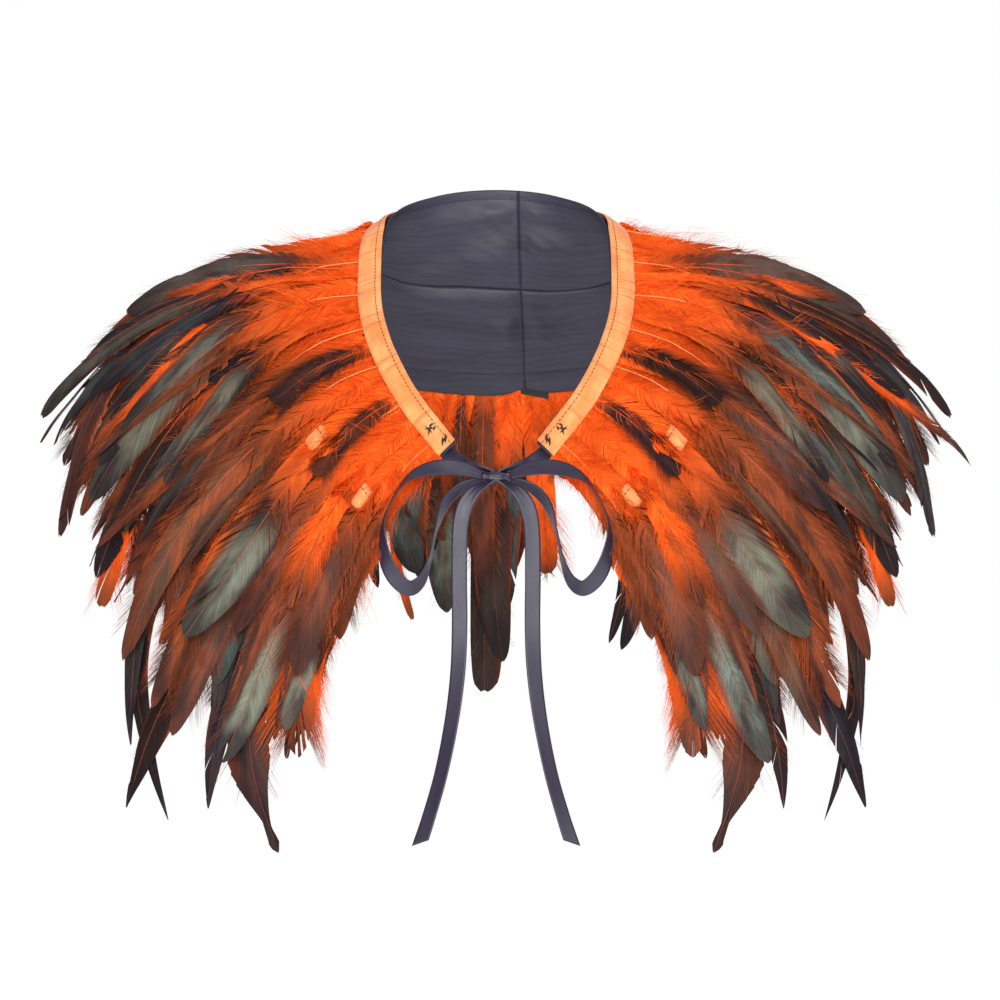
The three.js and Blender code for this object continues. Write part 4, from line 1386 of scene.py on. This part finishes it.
# %% [markdown]
# ## A bundle of feathers
# Each half of a row is one object, because hundreds of objects would be slow to handle. A bundle keeps
# the arrays of its feathers and joins them at the end. For baking, each feather has its own cell of the
# map, so that no two share a spot of the texture.
# %% Gather feathers into one piece
USUAL_DOWN = 0.42
CELL_SHAPE = 3.5
CELL_WIDE = 0.94
CELL_HIGH = 0.9
CELL_MARGIN = 0.03
CELL_LAST = 1.04


class Bundle:
    """Feathers that are sewn into one row, kept as arrays until they become one mesh."""

    def __init__(self):
        self.points, self.quads, self.places, self.marks, self.trims = [], [], [], [], []
        self.barbs, self.cells, self.horn, self.count, self.feathers = [], [], [], 0, 0

    def take(self, part, look, number, fluff, horn):
        """Keep one part of a feather, with the feather's markings on each of its points."""
        points, quads, place = part
        self.points.append(points)
        self.quads.append(quads + self.count)
        self.places.append(np.column_stack([place[:, :2], np.full(len(points), number)]))
        self.barbs.append(place[:, 2])
        self.marks.append(np.tile([look["patch"], look["dark"], look["tip"]], (len(points), 1)))
        trim = np.tile([look["edge"], look["down"], 0.0], (len(points), 1))
        trim[:, 2] = fluff
        self.trims.append(trim)
        self.cells.append(np.full(len(points), self.feathers))
        self.horn.append(np.full(len(quads), horn))
        self.count += len(points)

    def feather(self, spine, length, width, look, strands, bare, parted, rng):
        """Add one whole feather: vane, down, free barbs and quill."""
        number = rng.random()
        self.take(vane_strips(spine, length, width, look, parted, rng), look, number, 0.0, 0)
        strands = int(strands * look["down"] / USUAL_DOWN)
        down, fluff = down_strands(spine, width, look["down"], strands, parted, rng)
        self.take(down, look, number, fluff, 0)
        self.take(edge_fringe(spine, width, look, parted, rng), look, number, 0.0, 0)
        self.take(quill_tube(spine, bare), look, number, float(bare), 1)
        self.feathers += 1

    def piece(self, name):
        """All the feathers as one object."""
        places = np.vstack(self.places)
        cells = np.concatenate(self.cells)
        columns = math.ceil(math.sqrt(self.feathers * CELL_SHAPE))
        rows = math.ceil(self.feathers / columns)
        u = (cells % columns + 0.5 + np.clip(places[:, 1], -2, 2) / 4 * CELL_WIDE) / columns
        v = (cells // columns + CELL_MARGIN + CELL_HIGH * np.clip(places[:, 0], 0, CELL_LAST)) / rows
        values = {"place": places, "barb": np.concatenate(self.barbs), "marks": np.vstack(self.marks),
                  "trim": np.vstack(self.trims)}
        made = make_piece(name, np.vstack(self.points), np.vstack(self.quads), [FEATHER_DYE, QUILL_HORN],
                          values=values, maps={"OFBake": np.column_stack([u, v])},
                          face_material=np.concatenate(self.horn))
        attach(made, "root")
        return made


print("bundles ready")

# %% [markdown]
# ## Rows of feathers
# Each row is sewn by its quills under its own tape, evenly spaced. The neck row lies on top, its down
# covers the tape of the middle row, and the hem row hangs lowest. Scattered by chance they would look
# like fur, so a loop sews them one by one. The table repeats the sizes of the solids. Between each two
# feathers of the solid lies another, a little shorter, as a strung row has, so that no gap shows the
# tape below. The two halves were strung as twins, so each feather's look and lay are drawn once and sewn
# on both sides. Its face turns a little to the front, as feathers do that are brushed by hand. Where the
# picture shows short feathers, the row is trimmed.
# %% List the rows
ROWS = {
    "neck": {"spacing": 16.5, "length": 200, "width": 28, "kick": 4.0, "rises": [0.95, 7.2, 16.5],
             "strands": 600, "fullness": 0.97, "facing": 0.9, "droop": 14},
    "middle": {"spacing": 18, "length": 192, "width": 27, "kick": 3.5, "rises": [0.95, 9.2, 9.6],
               "strands": 230, "fullness": 0.9, "facing": 0.6, "droop": 16},
    "hem": {"spacing": 20, "length": 178, "width": 26, "kick": 0.8, "rises": [0.95, 2.4, 2.4],
            "strands": 150, "fullness": 0.8, "facing": 0.15, "droop": 4},
}
for name, root_v in TAPE_ROWS.items():
    ROWS[name]["root"] = root_v
# columns: s, then the share of the full length in the neck, middle and hem rows
REACH = np.array([
    [0.00, 0.94, 0.88, 0.80], [0.10, 1.00, 0.92, 0.92], [0.25, 1.00, 0.95, 0.98],
    [0.40, 1.00, 0.95, 0.84], [0.58, 1.00, 0.94, 0.76], [0.72, 1.02, 1.02, 0.78],
    [0.84, 1.00, 1.00, 0.95], [0.93, 1.00, 0.95, 0.90], [1.00, 1.00, 1.05, 1.22],
])


def reach_at(row, s):
    """The share of its full length that a row has at s."""
    column = 1 + list(ROWS).index(row)
    folded = np.atleast_1d(np.minimum(s, 2 - s))
    return float(smooth_through(REACH[:, [0, column]], folded)[0, 0])


print("longest feathers:", {name: row["length"] for name, row in ROWS.items()})

# %% List the looks
# columns: the look's share in the neck, middle and hem rows, its fuzz, then patch, dark, tip, edge and
# the end of its down; the looks without a share are those of single feathers
LOOKS = {
    "bronze": [0.17, 0.15, 0.10, 0.08, 0.85, 0.7, 0.8, 0.7, 0.44],
    "charcoal": [0.31, 0.32, 0.42, 0.06, 0.15, 0.95, 0.9, 0.4, 0.42],
    "rust": [0.36, 0.38, 0.37, 0.75, 0.06, 0.3, 0.6, 0.7, 0.46],
    "flame": [0.16, 0.15, 0.11, 1.0, 0.0, 0.1, 0.4, 0.9, 0.60],
    "smoke": [0, 0, 0, 0.1, 0.32, 0.62, 0.6, 0.3, 0.30],
    "sable": [0, 0, 0, 1.0, 0.0, 0.66, 0.3, 0.4, 0.10],
    "tuft": [0, 0, 0, 1.0, 0.0, 0.1, 0.2, 0.9, 0.80],
    "blunt": [0, 0, 0, 0.1, 0.1, 0.7, 0.5, 0.4, 0.20],
    "ember": [0, 0, 0, 0.3, 0.0, 0.1, 0.1, 0.9, 0.95],
    "sickle": [0, 0, 0, 0.08, 0.0, 0.9, 0.9, 0.5, 0.36],
    "pinched": [0, 0, 0, 0.12, 0.0, 0.55, 0.8, 0.5, 0.55],
}
LOOK_KEYS = ["patch", "dark", "tip", "edge", "down"]
LOOK_SPREAD = [0.1, 0.12, 0.1, 0.12, 0.04]
SHARPEST = 0.75


def look_of(name, rng):
    """A look's markings, each a little different from feather to feather."""
    values = np.array(LOOKS[name][4:]) + rng.normal(0, LOOK_SPREAD)
    look = dict(zip(LOOK_KEYS, np.clip(values, 0, 1)))
    return {"name": name, "fuzz": LOOKS[name][3], "point": rng.uniform(0, SHARPEST), **look}


print("looks:", list(LOOKS))

# %% Lay feathers on the cape
RISE_KNOTS = [0, 40, 90]
LAYER_RUN = 45.0
FREE_ROOM = 25.0
FREE_FROM_V = HEM_V + 3
KICK_FROM = 0.6
KICK_RUN = 0.4
FULL_VIEW = 0.75
VIEW_RUN = 0.6
MOST_TURN = 1.3
BACK_FADE = 3


def lay_feather(row, s, v, lift, kick, roll, facing, pull=0.0):
    """The spine of a feather that follows the cape through s and v, and is pulled off it to its tip."""
    far = v - v[0]
    height = np.interp(far, RISE_KNOTS, row["rises"]) + lift * np.minimum(1, far / LAYER_RUN)
    height = height + kick * np.clip((SPINE_T - KICK_FROM) / KICK_RUN, 0, 1) ** 2
    s = np.clip(s, 0, 2)
    points = on_cape(s, v, height) + pull * (SPINE_T**2)[:, None]
    normals = unit(read_grid(CAPE_NORMAL, s, v))
    seen = normals @ TOWARDS_VIEWER
    aside = np.clip((FULL_VIEW - seen) / VIEW_RUN, 0, MOST_TURN)
    turn = facing * aside * np.clip(seen * BACK_FADE + 1, 0, 1)
    normals = unit(normals + turn[:, None] * TOWARDS_VIEWER)
    room = np.where(v < FREE_FROM_V, height, FREE_ROOM)
    return spine_frame(points, normals, roll, room)


print("feathers face the front by", {name: row["facing"] for name, row in ROWS.items()})

# %% Sew the rows
BUNDLES = {}
ROW_SEED = 20
FIRST_QUILL_S = 0.012
ROOT_V = 5.0
LAYER_STEP = 3.4
LENGTH_SPREAD = (-0.14, 0.1)
WIDTH_SPREAD = (0.62, 1.2)
SWAY_SPREAD = 0.024
BEND_SPREAD = 0.012
ROLL_SPREAD = 0.3
BETWEEN_LIFT = 0.6
BETWEEN_SHORTER = 0.07
BARE_QUILL_STEP = 4
NAPE_RUN = 0.2
NAPE_FLUFF = 3.2
BACK_S = [0.28, 0.36]
BACK_FLUFF = [0.6, 1.0]
SHOULDER_S = [0.2, 0.28, 0.45, 0.62, 0.7]
SHOULDER_DOWN = [1.0, 0.7, 0.74, 0.9, 1.0]
NAPE_KEEP = 0.4
# columns: row, from s, to s, the share of the length that the row keeps there
SHORTENED = [
    ["middle", 0.86, 0.945, 0.62], ["hem", 0.86, 0.97, 0.5],
    ["hem", 0.0, 0.14, 0.86], ["hem", 1.86, 2.0, 0.86],
    ["hem", 0.0, 0.42, 0.78], ["hem", 1.58, 2.0, 0.78],
    ["middle", 0.0, 0.3, 0.92], ["middle", 1.7, 2.0, 0.92],
]


def bundle_at(row, s):
    """The bundle of the half row that s lies in."""
    return BUNDLES.setdefault(f"{row}_{'right' if s < 1 else 'left'}", Bundle())


def sew_row(name, seed):
    """A row of evenly spaced feathers, each drawn from the row's looks and sewn with its twin."""
    row = ROWS[name]
    rng = np.random.default_rng(seed)
    total = way_round(row["root"])[-1] / MM
    count = 2 * round(total / row["spacing"]) + 1
    places = even_places(row["root"], FIRST_QUILL_S, 2 - FIRST_QUILL_S, count)
    names = list(LOOKS)
    shares = np.array([LOOKS[n][list(ROWS).index(name)] for n in names])
    for index in range(count // 2, count):
        between_layers = index % 2
        lift = BETWEEN_LIFT if between_layers else LAYER_STEP * (index // 2 % 2)
        stretch = row["fullness"] * (1 + rng.uniform(*LENGTH_SPREAD) - BETWEEN_SHORTER * between_layers)
        width = row["width"] * rng.uniform(*WIDTH_SPREAD)
        sway = rng.normal(0, SWAY_SPREAD) * SPINE_T**2
        sway = sway + rng.normal(0, BEND_SPREAD) * np.sin(SPINE_T * math.pi)
        roll = rng.normal(0.0, ROLL_SPREAD) * SPINE_T
        kick = row["kick"] * rng.uniform(0, 2)
        facing = row["facing"] * rng.uniform(0, 1)
        droop = np.array([0, 0, -row["droop"] * rng.uniform(0, 1) * MM])
        look = look_of(rng.choice(names, p=shares / shares.sum()), rng)
        away = places[index] - 1
        path = np.maximum(away + sway, NAPE_KEEP * away)
        fluff = row["strands"] * np.interp(away, BACK_S, BACK_FLUFF)
        if name == "hem":
            fluff = row["strands"] * (NAPE_FLUFF if away < NAPE_RUN else 1)
        if name == "neck":
            look["down"] *= np.interp(away, SHOULDER_S, SHOULDER_DOWN)
        bare = name == "neck" and index % BARE_QUILL_STEP == 1
        for twin in (1, -1) if index > count // 2 else (1,):
            s_root = 1 + twin * away
            length = row["length"] * reach_at(name, s_root) * stretch
            for row_name, s0, s1, share in SHORTENED:
                length = length * (share if row_name == name and s0 < s_root < s1 else 1)
            v = row["root"] + ROOT_V + length * SPINE_T
            spine = lay_feather(row, 1 + twin * path, v, lift, kick, twin * roll, facing, droop)
            bundle = bundle_at(name, s_root)
            bundle.feather(spine, length * MM, width * MM, look, fluff, bare, name == "neck", rng)
    return count


for seed, name in enumerate(ROWS):
    print(name, "row of", sew_row(name, ROW_SEED + seed), "feathers")

# %% [markdown]
# ## The feathers that stand out
# Some feathers lie on top of the rest and give the shawl its face: a few long bronze ones, dark pointed
# ones at the rim, rust ones along the front. Each is sewn into its row at s, and its tip is where the
# picture shows it. They could be set by hand in space, but only the picture tells where a tip is. So the
# script looks for the place on the cape that falls on that pixel, lays the feather to it over the row,
# and pulls the last of the way off the cape where the tip hangs free.
# %% List the feathers on top
# columns: row, s of the quill, tip pixel across and down, width in mm, bow in mm, lift in mm,
# twist at the tip in degrees, look, end of down
TOP_FEATHERS = [
    ["neck", 1.370, 126, 312, 33, -6, 6.5, 0, "smoke", 0.20],
    ["neck", 1.385, 146, 317, 28, 0, 12.0, 0, "tuft", 0.80],
    ["neck", 1.400, 94, 349, 16, -4, 4.0, 0, "charcoal", 0.36],
    ["neck", 1.400, 41, 417, 14, -4, 8.0, 0, "blunt", 0.34],
    ["neck", 1.395, 88, 399, 20, 0, 6.0, 0, "charcoal", 0.34],
    ["neck", 1.430, 123, 436, 25, 6, 9.0, 15, "bronze", 0.38],
    ["neck", 1.470, 90, 503, 46, 0, 6.0, 0, "bronze", 0.38],
    ["neck", 1.520, 164, 484, 24, 4, 8.0, 0, "bronze", 0.40],
    ["neck", 1.640, 273, 402, 27, 0, 12.0, 0, "sable", 0.08],
    ["neck", 1.620, 166, 511, 34, 4, 7.0, 0, "rust", 0.30],
    ["neck", 1.665, 95, 548, 17, 8, 6.5, 0, "rust", 0.34],
    ["neck", 1.725, 123, 661, 32, -6, 6.0, 0, "rust", 0.30],
    ["neck", 1.800, 314, 476, 19, 0, 12.0, 0, "sable", 0.08],
    ["neck", 1.790, 184, 637, 38, 8, 9.5, 0, "bronze", 0.48],
    ["neck", 1.860, 235, 634, 30, 0, 6.0, 0, "rust", 0.48],
    ["neck", 1.880, 289, 608, 24, 0, 8.5, 0, "flame", 0.84],
    ["neck", 1.945, 297, 677, 36, -6, 7.5, 0, "rust", 0.44],
    ["neck", 1.985, 340, 640, 24, -4, 5.0, 0, "rust", 0.40],
    ["middle", 1.900, 222, 763, 27, 4, 6.5, 0, "bronze", 0.30],
    ["middle", 1.975, 286, 731, 18, 0, 8.5, 0, "bronze", 0.50],
    ["middle", 1.660, 131, 746, 19, -14, 4.0, 0, "sickle", 0.36],
    ["middle", 1.740, 152, 708, 30, 4, 5.5, 0, "flame", 0.60],
    ["middle", 1.780, 172, 736, 28, 6, 4.5, 0, "rust", 0.40],
    ["middle", 1.500, 96, 578, 30, 4, 4.0, 0, "charcoal", 0.34],
    ["middle", 1.330, 59, 537, 15, -8, 6.0, 0, "blunt", 0.34],
    ["middle", 1.370, 81, 516, 26, 6, 7.5, 0, "rust", 0.66],
    ["middle", 1.420, 70, 480, 14, 6, 4.0, 0, "rust", 0.34],
    ["hem", 1.985, 279, 853, 38, -40, 4.0, 0, "pinched", 0.56],
    ["hem", 1.800, 127, 808, 25, -5, 3.0, 0, "sickle", 0.40],
    ["hem", 1.700, 168, 821, 18, -42, 2.0, 0, "sickle", 0.34],
    ["hem", 1.850, 208, 809, 19, -6, 3.0, 0, "sickle", 0.34],
    ["hem", 1.500, 101, 607, 28, 2, 7.0, 0, "ember", 0.90],
    ["middle", 1.985, 299, 758, 42, -12, 6.0, 0, "flame", 0.80],
]
# the same columns, for the feathers without a twin: those at the nape, and one that sticks out at a side
SINGLE_FEATHERS = [
    ["hem", 1.010, 484, 692, 25, 0, 1.5, 0, "blunt", 0.20],
    ["hem", 1.040, 462, 520, 13, 0, -5.0, 0, "sable", 0.04],
    ["hem", 1.015, 484, 590, 24, 0, -4.0, 0, "rust", 0.08],
    ["hem", 0.990, 503, 662, 27, 4, -1.2, 0, "charcoal", 0.34],
    ["hem", 1.070, 416, 574, 32, 4, -3.0, 0, "bronze", 0.30],
    ["hem", 1.078, 424, 548, 22, 0, 1.5, 0, "rust", 0.40],
    ["hem", 1.040, 447, 613, 27, 2, 0.5, 0, "bronze", 0.34],
    ["hem", 0.975, 506, 609, 22, 2, -0.6, 0, "bronze", 0.34],
    ["hem", 0.958, 548, 574, 32, 0, -1.5, 0, "ember", 0.93],
    ["hem", 1.085, 413, 620, 11, 4, 1.0, 0, "ember", 0.96],
    ["hem", 1.120, 378, 588, 14, 0, 0.5, 0, "charcoal", 0.30],
    ["hem", 0.890, 621, 650, 18, -4, 0.5, 0, "charcoal", 0.30],
    ["hem", 0.897, 609, 643, 12, -4, 0.3, 0, "charcoal", 0.30],
    ["neck", 0.600, 971, 466, 13, -10, 2.0, 0, "rust", 0.80],
]
print(2 * len(TOP_FEATHERS) + len(SINGLE_FEATHERS), "feathers on top")

# %% Find the cape under a tip
TOP_HEIGHT = 14.0
S_REACH = 0.32
WANDER = 90.0


def place_under(pixel, s_root):
    """The s and v of the cape that fall on a pixel, near a quill's s, and the way from there to it."""
    s, v = np.meshgrid(S_LINES, V_LINES, indexing="ij")
    points = CAPE + CAPE_NORMAL * TOP_HEIGHT * MM
    miss = np.linalg.norm(to_picture(points) - pixel, axis=-1) + WANDER * np.abs(s - s_root)
    miss[np.abs(s - s_root) > S_REACH] = np.inf
    best = np.unravel_index(np.argmin(miss), miss.shape)
    found = points[best]
    depth = found[1] - CAMERA_PLACE.y
    aim = np.array([
        CAMERA_PLACE.x + (pixel[0] - PICTURE_SIDE / 2) * depth / FOCAL_PIXELS,
        found[1],
        CAMERA_PLACE.z - (pixel[1] - PICTURE_SIDE / 2) * depth / FOCAL_PIXELS,
    ])
    return s[best], v[best], aim - found


print("tips looked for", TOP_HEIGHT, "mm above the lining")

# %% Sew the feathers on top
TOP_SEED = 41
TIP_SWEEP = 1.2
BOW_REACH = 400
BOW_PEAK = 1.4
TOP_ROLL = 0.1
TOP_POINT = 0.15
TOP_KICK = 4.0
FEW_STRANDS = 20
FLAME_STRANDS = 280
TWIST_FROM = 0.8
TWIST_TO = 0.93


def sew_top_feather(entry, mirror, rng):
    """One feather from its entry, or its twin on the other side."""
    name, s_root, across, down, width, bow, lift, twist, look_name, down_end = entry
    row = ROWS[name]
    s_tip, v_tip, pull = place_under(np.array([across, down]), s_root)
    s = s_root + (s_tip - s_root) * SPINE_T**TIP_SWEEP
    v = row["root"] + ROOT_V + (v_tip - row["root"] - ROOT_V) * SPINE_T
    s = s + bow / BOW_REACH * np.sin(SPINE_T**BOW_PEAK * math.pi)
    roll = rng.normal(0, TOP_ROLL) * SPINE_T
    roll = roll + math.radians(twist) * np.clip((SPINE_T - TWIST_FROM) / (TWIST_TO - TWIST_FROM), 0, 1)
    kick = TOP_KICK if name == "neck" else 0.0
    tip = lay_feather(row, s, v, lift, kick, roll, 1.0, pull)[-1, :3]
    miss = (np.array([across, down]) - to_picture(tip)) * (tip[1] - CAMERA_PLACE.y) / FOCAL_PIXELS
    pull = pull + np.array([miss[0], 0, -miss[1]])
    if mirror:
        s = 2 - s
        roll = -roll
        pull = pull * [-1, 1, 1]
    spine = lay_feather(row, s, v, lift, kick, roll, 1.0, pull)
    length = np.linalg.norm(np.diff(spine[:, :3], axis=0), axis=1).sum()
    look = look_of(look_name, rng)
    look.update(down=down_end, point=TOP_POINT * look["point"])
    strands = FEW_STRANDS if look_name in ("sable", "tuft") else row["strands"] // 2
    strands = FLAME_STRANDS if look_name == "flame" else strands
    bundle = bundle_at(name, s[0])
    bundle.feather(spine, length, width * MM, look, strands, False, name == "neck", rng)


top_rng = np.random.default_rng(TOP_SEED)
for entry in TOP_FEATHERS:
    for mirror in (False, True):
        sew_top_feather(entry, mirror, top_rng)
for entry in SINGLE_FEATHERS:
    sew_top_feather(entry, False, top_rng)
print("bundles:", list(BUNDLES))

# %% Turn the bundles into pieces
for name, bundle in BUNDLES.items():
    piece = bundle.piece(f"plumes_{name}")
    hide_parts(f"feathers_{name.split('_')[0]}")
    print(piece.name, bundle.feathers, "feathers,", 2 * len(piece.data.polygons), "triangles")

# %% [markdown]
# ## Floor and light
# The shawl hangs in front of a white ground. A large plain floor lies well below it and glows a little,
# so that it stays white to its far edge. A pale sky gives the even light of a studio tent, one big soft
# lamp in front and a little above models the feathers, and a weaker one from the right opens the
# shadows. The camera itself sees a pure white sky. The colour transform is the plain one, so the dye
# keeps its strength.
# %% Lay the floor
FLOOR_DROP = 0.2
FLOOR_HALF = 8.0
FLOOR_GLOW = 0.45


def floor_paint():
    paint = Paint("floor_white")
    place = paint.add("TexCoord", {}, 3)
    grain = paint.cloud(place, 6.0, 2.0)
    colour = paint.blend(grain, srgb(252, 252, 252), srgb(255, 255, 255))
    return paint.finish(colour, 0.9, Specular_IOR_Level=0.1, Emission_Strength=FLOOR_GLOW)


floor_z = CAD_LOW.z - FLOOR_DROP
corner_signs = [(-1, -1), (1, -1), (1, 1), (-1, 1)]
floor_corners = [(x * FLOOR_HALF, y * FLOOR_HALF, floor_z) for x, y in corner_signs]
floor = make_piece("floor", floor_corners, [[0, 1, 2, 3]], [floor_paint()])
print("floor at", round(floor_z, 3), "m")

# %% Light the studio
SKY_LIGHT = 0.55


def soft_lamp(name, place, size, power):
    """A round area lamp that shines at the middle of the frame."""
    data = bpy.data.lights.new(name, "AREA")
    data.shape = "DISK"
    data.size = size
    data.energy = power
    lamp = bpy.data.objects.new(name, data)
    lamp.location = place
    lamp.rotation_euler = (-Vector(place)).to_track_quat("-Z", "Y").to_euler()
    bpy.context.scene.collection.objects.link(lamp)


def studio_tent():
    """A sky that lights the piece softly, with a pure white one for the camera to see."""
    world = bpy.data.worlds.new("studio_tent")
    world.use_nodes = True
    nodes, links = world.node_tree.nodes, world.node_tree.links
    light = nodes["Background"]
    light.inputs["Color"].default_value = (1, 1, 1, 1)
    light.inputs["Strength"].default_value = SKY_LIGHT
    ground = nodes.new("ShaderNodeBackground")
    ground.inputs["Color"].default_value = (1, 1, 1, 1)
    rays = nodes.new("ShaderNodeLightPath")
    choice = nodes.new("ShaderNodeMixShader")
    links.new(rays.outputs["Is Camera Ray"], choice.inputs[0])
    links.new(light.outputs[0], choice.inputs[1])
    links.new(ground.outputs[0], choice.inputs[2])
    links.new(choice.outputs[0], nodes["World Output"].inputs["Surface"])
    return world


soft_lamp("key_lamp", (-0.2, -2.9, 0.55), 1.5, 68.0)
soft_lamp("fill_lamp", (1.9, -2.0, 0.9), 1.6, 20.0)
bpy.context.scene.world = studio_tent()
bpy.context.scene.view_settings.view_transform = "Standard"
print("sky light", SKY_LIGHT)
